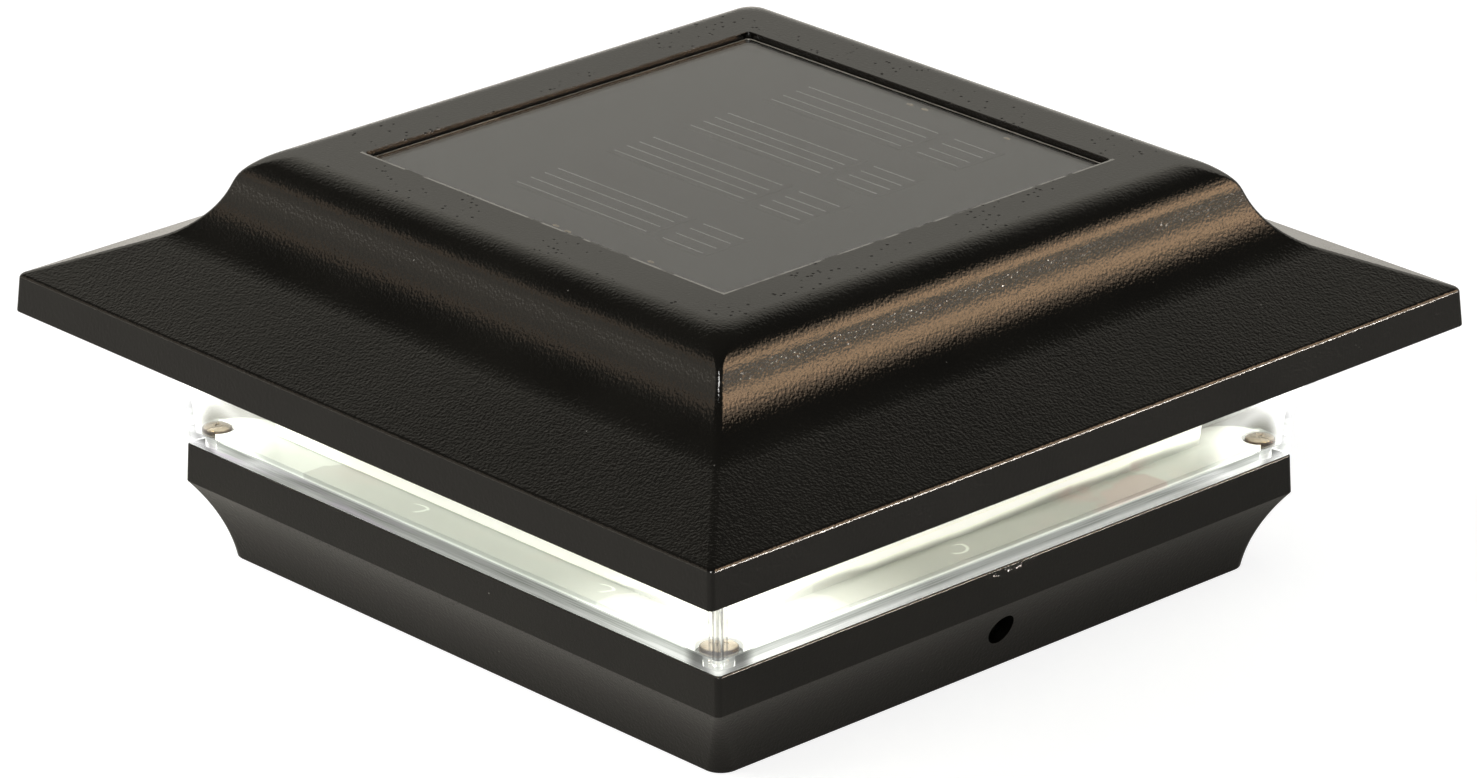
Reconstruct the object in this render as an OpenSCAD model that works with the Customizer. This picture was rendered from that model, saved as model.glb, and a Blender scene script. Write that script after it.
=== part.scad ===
// Solar cap light for a square deck post.
// Origin: middle of the base's lower rim. +Z is up, +X and -Y are the two sides seen in front.

/* [Base] */
// Width of the base across its band, at the band's lower edge
base_w = 158.8; // [154:0.2:166]
// Width of the base at its foot
foot_w = 146.4; // [144:0.2:150]
// Height of the cove from the foot to the band
cove_h = 16.3; // [14:0.1:20]
// Radius of the base's cove
cove_r = 34; // [20:1:60]
// Height of the upright band
band_h = 8.2; // [7.5:0.1:12]
// How far the band leans in from its lower to its upper edge, each side
band_draft = 0.3; // [0:0.1:0.8]
// Wall of the base casting
base_wall = 3.2; // [2.6:0.1:3.6]
// Corner radius of the base at its foot
foot_corner_r = 3.8; // [1.5:0.1:6]
// Corner radius of the base at its band
band_corner_r = 1.2; // [0.5:0.1:3]
// Clear opening between the guide ribs, for the post
post_opening = 131; // [129:0.5:133]
// Thickness of the guide ribs
rib_t = 2.5; // [2:0.1:4]
// Distance of each guide rib from the middle of its side
rib_offset = 32; // [20:1:45]
// How far the post stop reaches in from the guide ribs
stop_reach = 4.3; // [3.5:0.1:5]
// Thickness of the post stop under the housing's floor
stop_t = 2; // [1.5:0.1:3]
// Diameter of the screw holes in the two sides
side_hole_d = 6.5; // [4:0.1:8]
// Height of the side screw holes above the foot
side_hole_z = 9; // [8:0.1:10]
// Diameter of the inside boss round each side screw hole
side_boss_d = 13; // [11:0.5:15]

/* [Lens] */
// Clear height between the base and the eave
light_gap = 28.3; // [24:0.1:34]
// Thickness of the lens wall
lens_wall = 2; // [1.5:0.1:2.5]
// Thickness of the lens's foot flange
lens_floor_t = 2.5; // [2:0.1:3.5]
// How far the lens is set in from the base's upper edge
lens_set_in = 0.2; // [0:0.1:0.5]
// Height of the knee where the lens starts to flare, above the base
knee_h = 13.5; // [11:0.1:15]
// How far the knee stands out from the lens's foot
knee_out = 0.9; // [0.3:0.1:1.5]
// Radius of the knee
knee_r = 13; // [8:0.5:16]
// Corner radius of the lens
lens_corner_r = 2.1; // [1.5:0.1:3]
// Width of the flat rim at the lens's upper edge
rim_w = 4.1; // [3.5:0.1:5]
// Thickness of that rim
rim_t = 2; // [1.5:0.1:2.5]
// Height of the rim above the eave's lower edge
rim_recess = 0.8; // [0.4:0.1:1.5]
// Distance of the corner screws from the base's upper edge
corner_screw_inset = 5.2; // [5:0.1:5.6]

/* [Cap] */
// Width of the cap across the eave, at its lower edge
eave_w = 205.8; // [202:0.2:212]
// Height of the eave's upright band
eave_h = 8; // [7:0.1:11]
// How far the eave leans in from its lower to its upper edge, each side
eave_draft = 0.6; // [0:0.1:1]
// Radius of the eave's upper edge
arris_r = 0.8; // [0.4:0.1:1.5]
// Height from the eave's upper edge to the flat top
cap_rise = 26.7; // [25:0.1:30]
// Width at the line where the skirt's slope would meet the steep wall
cap_cove_w = 150.8; // [150:0.1:152]
// Height of that line above the eave's upper edge
cap_cove_rise = 10.5; // [9.5:0.1:11]
// Radius of the cove in that line
cap_cove_r = 20; // [12:0.5:21]
// Width at the line where the steep wall would meet the flat top
shoulder_w = 138; // [137:0.1:139]
// Radius of the shoulder in that line
shoulder_r = 10.9; // [6:0.1:11.2]
// Wall of the cap casting
cap_wall = 2.8; // [2.2:0.1:3.2]
// Wall of the cap's skirt round the lens
skirt_wall = 3; // [2.5:0.1:3.5]
// Corner radius of the cap at the eave and along the ridges
eave_corner_r = 1.2; // [0.8:0.1:3]
// Corner radius of the cap at its top
top_corner_r = 4; // [2:0.1:5.5]
// Width of the shelf that carries the panel's edge
panel_shelf_w = 8.5; // [7:0.5:12]

/* [Solar panel] */
// Width of the recess for the panel
recess_w = 105; // [103:0.5:107]
// How far the panel lies below the flat top
panel_set = 1.2; // [0.5:0.1:2]
// Thickness of the clear cover
cover_t = 1; // [0.6:0.1:2]
// Thickness of the cells
cell_t = 0.3; // [0.2:0.1:0.5]
// Thickness of the panel's board
panel_board_t = 1.2; // [0.8:0.1:2]
// Thickness of the adhesive seal under the board
panel_seal_t = 0.8; // [0.5:0.1:1.5]
// Length of a row's long cell
long_cell_l = 40; // [36:0.5:41]
// Length of a row's short cell
short_cell_l = 13.4; // [10:0.1:16]
// Width of the cells
cell_w = 13.6; // [10:0.1:17]
// Gap between the long and the short cell
cell_gap = 2.7; // [1:0.1:4]

/* [Light chamber] */
// Distance of the bright inner wall from the housing
reflector_gap = 5.2; // [3:0.1:6.5]
// Wall of the reflectors
reflector_t = 1.4; // [1:0.1:1.8]
// Thickness of the ceiling plate
ceiling_t = 1.6; // [1.2:0.1:2]
// Thickness of the seal between the lens's rim and the ceiling plate
rim_gasket_t = 0.8; // [0.5:0.1:1.2]
// Width of a lamp's square board
led_board_w = 16; // [14:0.5:18]
// Thickness of the lamp boards
led_board_t = 1; // [0.8:0.1:1.6]
// Diameter of a lamp's dome
led_d = 5; // [3:0.1:5]

/* [Housing] */
// Height of the housing from its floor's underside to its upper edge
housing_h = 44.5; // [42:0.5:48]
// Thickness of the housing's floor
floor_t = 3; // [2.8:0.1:3.4]
// Wall of the housing
housing_wall = 2; // [1.6:0.1:2.6]
// Distance of the screw towers from the housing's outer faces
tower_inset = 10.8; // [10:0.1:11.5]
// Diameter of the screw towers
tower_d = 10.5; // [10:0.1:12]
// Diameter of the well that a cap screw's head goes up
well_d = 7; // [6.6:0.1:7.5]
// Distance of the cap screws' heads below the housing's upper edge
tower_seat = 10; // [6:0.5:14]

/* [Battery] */
// Length of a battery cell
cell_l = 50; // [44:0.5:51]
// Diameter of a battery cell
cell_d = 14.5; // [10.5:0.1:14.5]
// Room for the spring and the plate at a cell's ends
spring_room = 8; // [6:0.5:9]
// Wall of the battery holder
holder_wall = 1.6; // [1.2:0.1:2]
// Middle of the battery bay, from the middle of the housing
bay_y = -24; // [-26:0.5:-23]
// How far the door laps over the edge of the bay
door_lap = 4; // [3:0.1:4.5]
// Thickness of the door
door_t = 1.5; // [1.2:0.1:1.7]
// Thickness of the door's seal
door_seal_t = 0.4; // [0.3:0.1:0.6]
// Diameter of the wire of the battery springs
spring_wire_d = 0.8; // [0.6:0.1:1]

/* [Switch] */
// Middle of the switch, from the middle of the housing
switch_y = 36; // [33:0.5:40]
// How far the knob travels
switch_travel = 4; // [2:0.5:5]
// Width of the knob's stem
stem_w = 4; // [3:0.1:5]
// How far the knob stands out below the housing's floor
stem_proud = 1.2; // [0.6:0.1:1.6]

/* [Electronics] */
// Length of the control board
board_l = 64; // [60:1:70]
// Width of the control board
board_w = 42; // [38:1:44]
// Thickness of the control board
board_t = 1.6; // [1:0.1:2]
// Middle of the control board, from the middle of the housing
board_y = 30; // [28:0.5:32]
// Height of the standoffs under the control board
standoff_h = 9.5; // [8.5:0.5:14]
// Diameter of the insulated wires
lead_d = 1.6; // [1:0.1:2]

/* [Fasteners] */
// Thread diameter of the corner screws and the cap screws
big_screw_d = 3; // [2.6:0.1:3.2]
// Thread diameter of the small screws inside
small_screw_d = 2.5; // [2:0.1:2.6]
// Diameter of the corner screws' and cap screws' heads
big_head_d = 6.2; // [5:0.1:6.3]
// Height of those heads
big_head_h = 2; // [1.4:0.1:2.4]
// Diameter of the small screws' heads
small_head_d = 4.6; // [3.8:0.1:5]
// Height of the small screws' heads
small_head_h = 1.5; // [1:0.1:1.8]
// Length of a corner screw under its head
corner_screw_l = 9; // [6:0.5:10]
// Length of a cap screw under its head
cap_screw_l = 18; // [14:0.5:20]

/* [Clearances] */
// Gap between parts that only lie in each other
fit = 0.4; // [0.2:0.1:0.5]
// Gap between the knob or the door and what it moves in
running_fit = 0.3; // [0.2:0.1:0.4]
// Radial gap between a screw and its hole
screw_fit = 0.05; // [0.02:0.01:0.1]

/* [Hidden] */
$fn = 48;
through = 1; // how far a cut runs past the face it opens
bite = 0.5; // how far a wall or a boss runs into what carries it

// Colours of the finishes
coat = "#2b2824";
clear = [0.9, 0.97, 0.93, 0.35];
steel = "#c9c7c0";
white = "#f2f1ea";
rubber = "#1c1c1c";
grey_board = "#6e6e68";
green_board = "#1f5c38";

// Smoothness of the lofts
corner_steps = 5;
arc_steps = 8;

// Heights
base_h = cove_h + band_h;
floor_z = base_h - floor_t;
stop_z = floor_z - stop_t;
lens_floor_z = base_h + lens_floor_t;
eave_z = base_h + light_gap;
rim_z = eave_z + rim_recess;
rim_top_z = rim_z + rim_t;
ceiling_z = rim_top_z + rim_gasket_t;
skirt_z = ceiling_z + ceiling_t;
arris_z = eave_z + eave_h;
top_z = arris_z + cap_rise;
ridge_end_z = top_z - shoulder_r / 2;
cover_top_z = top_z - panel_set;
cover_z = cover_top_z - cover_t;
cell_z = cover_z - cell_t;
panel_board_z = cell_z - panel_board_t;
recess_z = panel_board_z - panel_seal_t;
tub_z = recess_z - cap_wall;
housing_top_z = floor_z + housing_h;
seat_z = housing_top_z - tower_seat;

// Half widths
band_half = base_w / 2;
base_top_half = band_half - band_draft;
foot_half = foot_w / 2;
post_half = post_opening / 2;
stop_half = post_half - stop_reach;
ledge_w = 2.8;
cap_shoulder_w = 3;
ledge_half = stop_half + ledge_w;
lens_foot_half = base_top_half - lens_set_in;
screw_half = base_top_half - corner_screw_inset;
eave_half = eave_w / 2;
arris_half = eave_half - eave_draft;
skirt_half = eave_half - skirt_wall;
rim_half = skirt_half - fit;
flare_half = rim_half - rim_w;
cap_inner_half = skirt_half - cap_shoulder_w;
housing_half = stop_half - fit;
reflector_half = housing_half + reflector_gap;
tower_half = housing_half - tower_inset;
recess_half = recess_w / 2;
panel_half = recess_half - fit;
window_half = recess_half - panel_shelf_w;

// Battery bay
bay_l = cell_l + spring_room;
contact_t = 0.5;
cell_clear = 0.7;
cell_divider = 0.6;
cell_room = cell_d + 0.9;
cell_pitch = cell_room + cell_divider;
bay_w = 2 * cell_room + cell_divider;
holder_l = bay_l + 2 * holder_wall;
holder_w = bay_w + 2 * holder_wall;
cell_low_z = base_h + cell_clear;
cell_mid_z = cell_low_z + cell_d / 2;
holder_top_z = cell_low_z + cell_d + cell_clear + holder_wall;
door_l = bay_l + 2 * door_lap;
door_w = bay_w + 2 * door_lap;
door_ear_d = 9;
door_ear_x = door_l / 2 + 2;
door_boss_d = 6;
door_boss_h = 7;

// Switch
switch_case = [19, 9, 6];
switch_ear_t = 1;
switch_screw_x = switch_case.x / 2 + small_head_d / 2 + running_fit;
switch_ear_l = 2 * switch_screw_x + small_head_d;
knob_head = [stem_w + 2.6, stem_w + 1.4, 2.6];
knob_rest_x = -switch_travel / 2;

// Control board
board_z = base_h + standoff_h;
board_top_z = board_z + board_t;
board_hole_inset = 4;
board_screw_bite = 5;
standoff_d = 6;
standoff_x = board_l / 2 - board_hole_inset;
standoff_ys = [board_y - board_w / 2 + board_hole_inset, board_y + board_w / 2 - board_hole_inset];

// Middle of each row of cells on the panel, laid by hand
row_ys = [-33, -7.2, 13.4, 35.8];
row_x = -23.4;

// Outlines of half the section, from the bottom up: [half width, height, radius there]
cap_outline = [
  [eave_half, eave_z, 0],
  [arris_half, arris_z, arris_r],
  [cap_cove_w / 2, arris_z + cap_cove_rise, cap_cove_r],
  [shoulder_w / 2, top_z, shoulder_r],
  [recess_half, top_z, 0]
];
lens_outline = [
  [lens_foot_half, base_h, 0],
  [lens_foot_half + knee_out, base_h + knee_h, knee_r],
  [flare_half, rim_z, 0]
];

// Lens tray's inside, and the lamp boards in the middle of the room under the ceiling plate
bowl = inset(lens_outline, lens_wall);
bowl_foot = point_at(bowl[0], bowl[1], lens_floor_z);
bowl_mouth = point_at(bowl[1], bowl[2], rim_top_z);
led_half = (reflector_half + bowl_mouth[0]) / 2;
led_screw_off = led_board_w / 2 - 3;

function unit(v) = v / norm(v);
function lerp(a, b, t) = a + (b - a) * min(max(t, 0), 1);
function short_turn(a) = a > 180 ? a - 360 : a < -180 ? a + 360 : a;
function flat(p) = [p[0], p[1]];

// Points of the arc about a centre, from one point to another
function arc(centre, r, from, to, n) =
  let (a = atan2(from.y - centre.y, from.x - centre.x))
  let (turn = short_turn(atan2(to.y - centre.y, to.x - centre.x) - a))
  [for (i = [0:n]) centre + r * [cos(a + turn * i / n), sin(a + turn * i / n)]];

// Rounds the corner q between p and s
function round_corner(p, q, s, r, n) =
  let (u = unit(p - q))
  let (v = unit(s - q))
  let (half_angle = acos(u * v) / 2)
  let (centre = q + unit(u + v) * r / sin(half_angle))
  arc(centre, r, q + u * r / tan(half_angle), q + v * r / tan(half_angle), n);

// An outline with its arcs drawn out
function drawn(line, n) =
  let (last = len(line) - 1)
  [for (i = [0:last]) each (line[i][2] == 0
    ? [flat(line[i])]
    : round_corner(flat(line[i - 1]), flat(line[i]), flat(line[i + 1]), line[i][2], n))];

// The same outline moved inwards by a wall
function inset(line, t) =
  let (last = len(line) - 1)
  [for (i = [0:last])
    let (before = unit(flat(line[max(i, 1)]) - flat(line[max(i, 1) - 1])))
    let (after = unit(flat(line[min(i, last - 1) + 1]) - flat(line[min(i, last - 1)])))
    let (m = [-before.y, before.x])
    let (n = [-after.y, after.x])
    let (shift = (m + n) / (1 + m * n))
    let (r = line[i][2])
    [line[i][0] + t * shift.x, line[i][1] + t * shift.y,
      r == 0 ? 0 : max(r - t * sign(cross(before, after)), 0.4)]];

// The base's cove, or its inside when t is the wall
function base_cove(t) =
  let (p = [foot_half, 0])
  let (q = [band_half, cove_h])
  let (along = unit(q - p))
  let (away = sqrt(pow(cove_r, 2) - pow(norm(q - p) / 2, 2)))
  let (centre = (p + q) / 2 + away * [along.y, -along.x])
  arc(centre, cove_r + t, p, q, arc_steps);

// Where the line through two outline points reaches a height
function point_at(a, b, z) = [a[0] + (b[0] - a[0]) * (z - a[1]) / (b[1] - a[1]), z, 0];

// Where the cap's inside slope lies over a given half width
function slope_z(half, t) =
  let (line = inset(cap_outline, t))
  lerp(line[1][1], line[2][1], (line[1][0] - half) / (line[1][0] - line[2][0]));

// One turn round a square with rounded corners
function square_ring(half, r, n = corner_steps) =
  let (c = half - r)
  [for (q = [0:3]) for (i = [0:n])
    let (a = 90 * (q + i / n))
    [c * (q == 0 || q == 3 ? 1 : -1) + r * cos(a), c * (q < 2 ? 1 : -1) + r * sin(a)]];

// Gives each point of a drawn outline the corner radius of its height
function sections(line, r_low, r_high, z_low, z_high) =
  [for (p = line) [p.x, p.y, lerp(r_low, r_high, (p.y - z_low) / (z_high - z_low))]];

// A solid through square sections: [half width, height, corner radius]
module loft(rows, n = corner_steps) {
  k = 4 * (n + 1);
  m = len(rows);
  points = [for (s = rows) for (p = square_ring(s[0], s[2], n)) [p.x, p.y, s[1]]];
  sides = [for (j = [0:m - 2]) for (i = [0:k - 1])
    [j * k + i, (j + 1) * k + i, (j + 1) * k + (i + 1) % k, j * k + (i + 1) % k]];
  ends = [[for (i = [0:k - 1]) i], [for (i = [k - 1:-1:0]) (m - 1) * k + i]];
  polyhedron(points, concat(sides, ends));
}

// A flat square plate with rounded corners, from z up by h
module plate(half, r, z, h) {
  translate([0, 0, z]) linear_extrude(h) polygon(square_ring(half, r));
}

module plate_ring(outer, inner, r, z, h) {
  difference() {
    plate(outer, r, z, h);
    plate(inner, max(r - outer + inner, 0.5), z - through, h + 2 * through);
  }
}

module box(size, middle, z) {
  translate([middle.x - size.x / 2, middle.y - size.y / 2, z]) cube(size);
}

module at_corners(half) {
  for (x = [-half, half]) for (y = [-half, half]) translate([x, y, 0]) children();
}

// A pan-head screw pointing down, its head's underside at z = 0
module pan_screw(d, head_d, head_h, l) {
  crown = 0.35 * head_h;
  translate([0, 0, -l]) cylinder(d = d, h = l + head_h / 2);
  cylinder(d = head_d, h = head_h - crown);
  translate([0, 0, head_h - crown]) cylinder(d1 = head_d, d2 = 0.75 * head_d, h = crown);
}

// Smooth path through a few points
function spline(p, steps) =
  let (last = len(p) - 1)
  concat([for (i = [0:last - 1]) for (s = [0:steps - 1])
    let (t = s / steps)
    let (a = p[max(i - 1, 0)])
    let (b = p[i])
    let (c = p[i + 1])
    let (d = p[min(i + 2, last)])
    0.5 * (2 * b + (c - a) * t + (2 * a - 5 * b + 4 * c - d) * t * t
      + (3 * b - a - 3 * c + d) * t * t * t)], [p[last]]);

function heading(p, i) = unit(p[min(i + 1, len(p) - 1)] - p[max(i - 1, 0)]);
function square_to(v, t) = unit(v - (v * t) * t);

// A side vector for each point of the path, carried along without twist
function carried(p, i, v) =
  i == len(p) ? [] : let (w = square_to(v, heading(p, i))) concat([w], carried(p, i + 1, w));

// A lead that leaves and arrives straight, and bends freely between
function lead_path(p, steps) =
  let (last = len(p) - 1)
  concat([p[0]], spline([for (i = [1:last - 1]) p[i]], steps), [p[last]]);

// A round wire along a path
module wire(p, d, side, sides = 8) {
  across = carried(p, 0, side);
  last = len(p) - 1;
  points = [for (i = [0:last]) for (k = [0:sides - 1])
    let (a = 360 * k / sides)
    p[i] + d / 2 * (across[i] * cos(a) + cross(heading(p, i), across[i]) * sin(a))];
  walls = [for (i = [0:last - 1]) for (k = [0:sides - 1])
    let (next = (k + 1) % sides)
    [i * sides + k, (i + 1) * sides + k, (i + 1) * sides + next, i * sides + next]];
  ends = [[for (k = [0:sides - 1]) k], [for (k = [sides - 1:-1:0]) last * sides + k]];
  polyhedron(points, concat(walls, ends));
}

module base_cavity() {
  low = base_cove(base_wall);
  line = concat([[low[0].x, -through]], low, [[base_top_half - base_wall, stop_z]]);
  loft(sections(line, foot_corner_r, band_corner_r, 0, cove_h));
}

// Ribs that centre the post, and two bosses or holes in line across the base
module guide_ribs() {
  for (turn = [0:90:270]) rotate(turn) for (y = [-rib_offset, rib_offset])
    translate([post_half, y - rib_t / 2, 0]) cube([band_half, rib_t, base_h]);
}

module side_bosses(d, start) {
  for (turn = [0, 180]) rotate(turn) translate([start, 0, side_hole_z]) rotate([0, 90, 0])
    cylinder(d = d, h = band_half);
}

module base_casting() {
  screw_boss_d = 8;
  screw_hole_z = base_h + lens_floor_t - corner_screw_l - 1;
  screw_boss_z = screw_hole_z - 3;
  outside = concat(base_cove(0), [[base_top_half, base_h]]);
  color(coat) difference() {
    loft(sections(outside, foot_corner_r, band_corner_r, 0, cove_h));
    difference() {
      base_cavity();
      guide_ribs();
      side_bosses(side_boss_d, post_half);
      at_corners(screw_half) translate([0, 0, screw_boss_z]) cylinder(d = screw_boss_d, h = base_h);
    }
    plate(stop_half, 2, 0, base_h + through);
    plate(ledge_half, 2, floor_z, base_h);
    gasket_ring(0);
    at_corners(screw_half) translate([0, 0, screw_hole_z])
      cylinder(d = big_screw_d + 2 * screw_fit, h = base_h);
    side_bosses(side_hole_d, post_half - through);
  }
}

// The gasket in the base's upper face, or its groove when gap is 0
module gasket_ring(gap) {
  gasket_w = 2.4;
  gasket_h = 1.2;
  middle = (ledge_half + screw_half - big_screw_d) / 2;
  plate_ring(middle + gasket_w / 2 - gap, middle - gasket_w / 2 + gap, 3, base_h - gasket_h,
    gasket_h + (gap == 0 ? through : 0));
}

module lens_gasket() {
  color(rubber) gasket_ring(0.1);
}

module lens_tray() {
  bowl_corner_r = 1;
  rim = concat(drawn(lens_outline, arc_steps), [[rim_half, rim_z], [rim_half, rim_top_z]]);
  mouth = point_at(bowl[1], bowl[2], rim_top_z + through);
  inside = drawn([bowl_foot, bowl[1], mouth], arc_steps);
  color(clear) difference() {
    loft(sections(rim, lens_corner_r, lens_corner_r, base_h, rim_z));
    loft(sections(inside, bowl_corner_r, bowl_corner_r, base_h, rim_z));
    plate(housing_half + fit, 2, base_h - through, lens_floor_t + 2 * through);
    at_corners(screw_half) translate([0, 0, base_h - through])
      cylinder(d = big_screw_d + 2 * screw_fit, h = lens_floor_t + 2 * through);
  }
}

module lens_screws() {
  color(steel) at_corners(screw_half) translate([0, 0, lens_floor_z])
    pan_screw(big_screw_d, big_head_d, big_head_h, corner_screw_l);
}

module light_reflector() {
  lean = 1.2;
  foot = [reflector_half, lens_floor_z];
  head = [reflector_half - lean, ceiling_z];
  low = point_at(foot, head, lens_floor_z - through);
  high = point_at(foot, head, ceiling_z + through);
  color(white) difference() {
    union() {
      plate(bowl_foot[0] - fit, 1.5, lens_floor_z, reflector_t);
      loft([[foot[0], foot[1], 3], [head[0], head[1], 3]]);
    }
    loft([[low[0] - reflector_t, low[1], 2], [high[0] - reflector_t, high[1], 2]]);
    at_corners(screw_half) translate([0, 0, lens_floor_z - through])
      cylinder(d = big_head_d + 4 * fit, h = reflector_t + 2 * through);
  }
}

module rim_gasket() {
  inner_half = bowl_mouth[0] + 2 * fit;
  color(rubber) plate_ring(rim_half - fit, inner_half, lens_corner_r, rim_top_z, rim_gasket_t);
}

// Two screws across each lamp board, and its lead hole in another corner
module at_led_screws() {
  for (x = [-1, 1]) for (y = [-1, 1]) for (s = [-1, 1])
    translate([x * (led_half + s * led_screw_off), y * (led_half + s * led_screw_off), 0]) children();
}

module ceiling_reflector() {
  led_boss_d = 5;
  led_boss_h = 3;
  color(white) difference() {
    union() {
      plate_ring(rim_half, housing_half + fit, lens_corner_r, ceiling_z, ceiling_t);
      at_led_screws() translate([0, 0, ceiling_z]) cylinder(d = led_boss_d, h = ceiling_t + led_boss_h);
    }
    at_led_screws() translate([0, 0, ceiling_z - through])
      cylinder(d = small_screw_d + 2 * screw_fit, h = ceiling_t + led_boss_h);
    for (x = [-1, 1]) for (y = [-1, 1])
      translate([x * (led_half + led_screw_off), y * (led_half - led_screw_off), ceiling_z - through])
        cylinder(d = lead_d + 4 * fit, h = ceiling_t + 2 * through);
  }
}

module led_boards() {
  color(white) difference() {
    at_corners(led_half)
      box([led_board_w, led_board_w, led_board_t], [0, 0], ceiling_z - led_board_t);
    at_led_screws() translate([0, 0, ceiling_z - led_board_t - through])
      cylinder(d = small_screw_d + 2 * screw_fit, h = led_board_t + 2 * through);
  }
}

module led_lamps() {
  body_h = 1.4;
  color([1, 0.98, 0.85]) at_corners(led_half) translate([0, 0, ceiling_z - led_board_t]) mirror([0, 0, 1]) {
    box([led_d + 1, led_d + 1, body_h / 2], [0, 0], 0);
    intersection() {
      cylinder(d = 2 * led_d, h = body_h / 2 + led_d);
      translate([0, 0, body_h / 2]) sphere(d = led_d);
    }
  }
}

module led_screws() {
  color(steel) at_led_screws() translate([0, 0, ceiling_z - led_board_t]) mirror([0, 0, 1])
    pan_screw(small_screw_d, small_head_d, small_head_h, led_board_t + ceiling_t + 1);
}

module cap_casting() {
  inner = inset(cap_outline, cap_wall);
  hollow = drawn([[cap_inner_half, slope_z(cap_inner_half, cap_wall), 0], inner[2], inner[3],
    [inner[4][0], inner[4][1], 0]], arc_steps);
  boss_d = 9;
  color(coat) difference() {
    union() {
      difference() {
        loft(sections(drawn(cap_outline, arc_steps), eave_corner_r, top_corner_r, ridge_end_z, top_z));
        plate(skirt_half, 1, eave_z - through, skirt_z - eave_z + through);
        loft(sections(concat([[cap_inner_half, skirt_z - through]], hollow), 1, 2, arris_z, top_z));
      }
      plate(recess_half + cap_wall, 2, tub_z, top_z - tub_z - cap_wall / 2);
      at_corners(tower_half) translate([0, 0, housing_top_z])
        cylinder(d = boss_d, h = tub_z - housing_top_z + bite);
    }
    plate(recess_half, 1, recess_z, top_z);
    plate(window_half, 2, tub_z - through, top_z);
    at_corners(tower_half) translate([0, 0, housing_top_z - through])
      cylinder(d = big_screw_d + 2 * screw_fit, h = cap_screw_l - tower_seat + 2 * through);
  }
}

module cap_screws() {
  color(steel) at_corners(tower_half) translate([0, 0, seat_z]) mirror([0, 0, 1])
    pan_screw(big_screw_d, big_head_d, big_head_h, cap_screw_l);
}

module panel_seal() {
  seal_set_back = 1;
  color(rubber) plate_ring(panel_half, window_half + seal_set_back, 1, recess_z, panel_seal_t);
}

module panel_board() {
  color(grey_board) plate(panel_half, 1, panel_board_z, panel_board_t);
}

module solar_cells() {
  color("#3a3d42") for (y = row_ys) translate([row_x, y - cell_w / 2, cell_z]) {
    cube([long_cell_l, cell_w, cell_t]);
    translate([long_cell_l + cell_gap, 0, 0]) cube([short_cell_l, cell_w, cell_t]);
  }
}

module panel_cover() {
  color(clear) plate(panel_half, 1, cover_z, cover_t);
}

module door_shape(gap, z, h) {
  box([door_l - 2 * gap, door_w - 2 * gap, h], [0, bay_y], z);
  for (x = [-door_ear_x, door_ear_x]) translate([x, bay_y, z]) cylinder(d = door_ear_d - 2 * gap, h = h);
}

module at_door_screws() {
  for (x = [-door_ear_x, door_ear_x]) translate([x, bay_y, 0]) children();
}

module at_switch_screws() {
  for (x = [-switch_screw_x, switch_screw_x]) translate([x, switch_y, 0]) children();
}

module at_standoffs() {
  for (x = [-standoff_x, standoff_x]) for (y = standoff_ys) translate([x, y, 0]) children();
}

module electronics_housing() {
  wall_inner = housing_half - housing_wall;
  small_hole_d = small_screw_d + 2 * screw_fit;
  wall_z = base_h - bite;
  color(white) difference() {
    union() {
      plate(ledge_half - fit, 2, floor_z, floor_t);
      plate_ring(housing_half, wall_inner, 3, wall_z, housing_top_z - wall_z);
      at_corners(tower_half) translate([0, 0, wall_z]) cylinder(d = tower_d, h = housing_top_z - wall_z);
      at_standoffs() translate([0, 0, wall_z]) cylinder(d = standoff_d, h = board_z - wall_z);
      at_door_screws() translate([0, 0, wall_z]) cylinder(d = door_boss_d, h = door_boss_h + bite);
    }
    at_corners(tower_half) translate([0, 0, floor_z - through]) {
      cylinder(d = well_d, h = seat_z - floor_z + through);
      cylinder(d = big_screw_d + 2 * screw_fit, h = housing_h + 2 * through);
    }
    at_standoffs() translate([0, 0, board_z - board_screw_bite - 1])
      cylinder(d = small_hole_d, h = board_screw_bite + 1 + through);
    at_door_screws() translate([0, 0, floor_z - through])
      cylinder(d = small_hole_d, h = floor_t + door_boss_h);
    box([bay_l, bay_w, floor_t + 2 * through], [0, bay_y], floor_z - through);
    door_shape(-running_fit, floor_z - through, door_t + door_seal_t + through);
    box([switch_travel + stem_w + 2 * running_fit, stem_w + 2 * running_fit, floor_t + 2 * through],
      [0, switch_y], floor_z - through);
    at_switch_screws() translate([0, 0, floor_z + 1]) cylinder(d = small_hole_d, h = floor_t);
  }
}

module battery_holder() {
  color("#222222") difference() {
    box([holder_l, holder_w, holder_top_z - base_h], [0, bay_y], base_h);
    for (s = [-1, 1]) box([bay_l, cell_room, cell_d + 2 * cell_clear + through],
      [0, bay_y + s * cell_pitch / 2], base_h - through);
  }
}

module battery_cells() {
  nub_d = 5.5;
  nub_h = 1;
  start_x = bay_l / 2 - contact_t - cell_l;
  color("#4f7d3a") for (s = [-1, 1])
    translate([s * start_x, bay_y + s * cell_pitch / 2, cell_mid_z]) rotate([0, s * 90, 0]) {
      cylinder(d = cell_d, h = cell_l - nub_h);
      cylinder(d = nub_d, h = cell_l);
    }
}

module battery_springs() {
  turns = 3.5;
  turn_steps = 12;
  wide_r = cell_d / 3;
  tip_r = cell_d / 5;
  low = spring_wire_d / 2;
  high = spring_room - contact_t - low;
  coil = [for (i = [0:turn_steps * turns])
    let (t = i / (turn_steps * turns))
    let (r = lerp(wide_r, tip_r, t))
    [r * cos(360 * turns * t), r * sin(360 * turns * t), lerp(low, high, t)]];
  color(steel) for (s = [-1, 1]) translate([-s * bay_l / 2, bay_y + s * cell_pitch / 2, cell_mid_z])
    rotate([0, s * 90, 0]) wire(coil, spring_wire_d, [1, 0, 0], 6);
}

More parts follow.
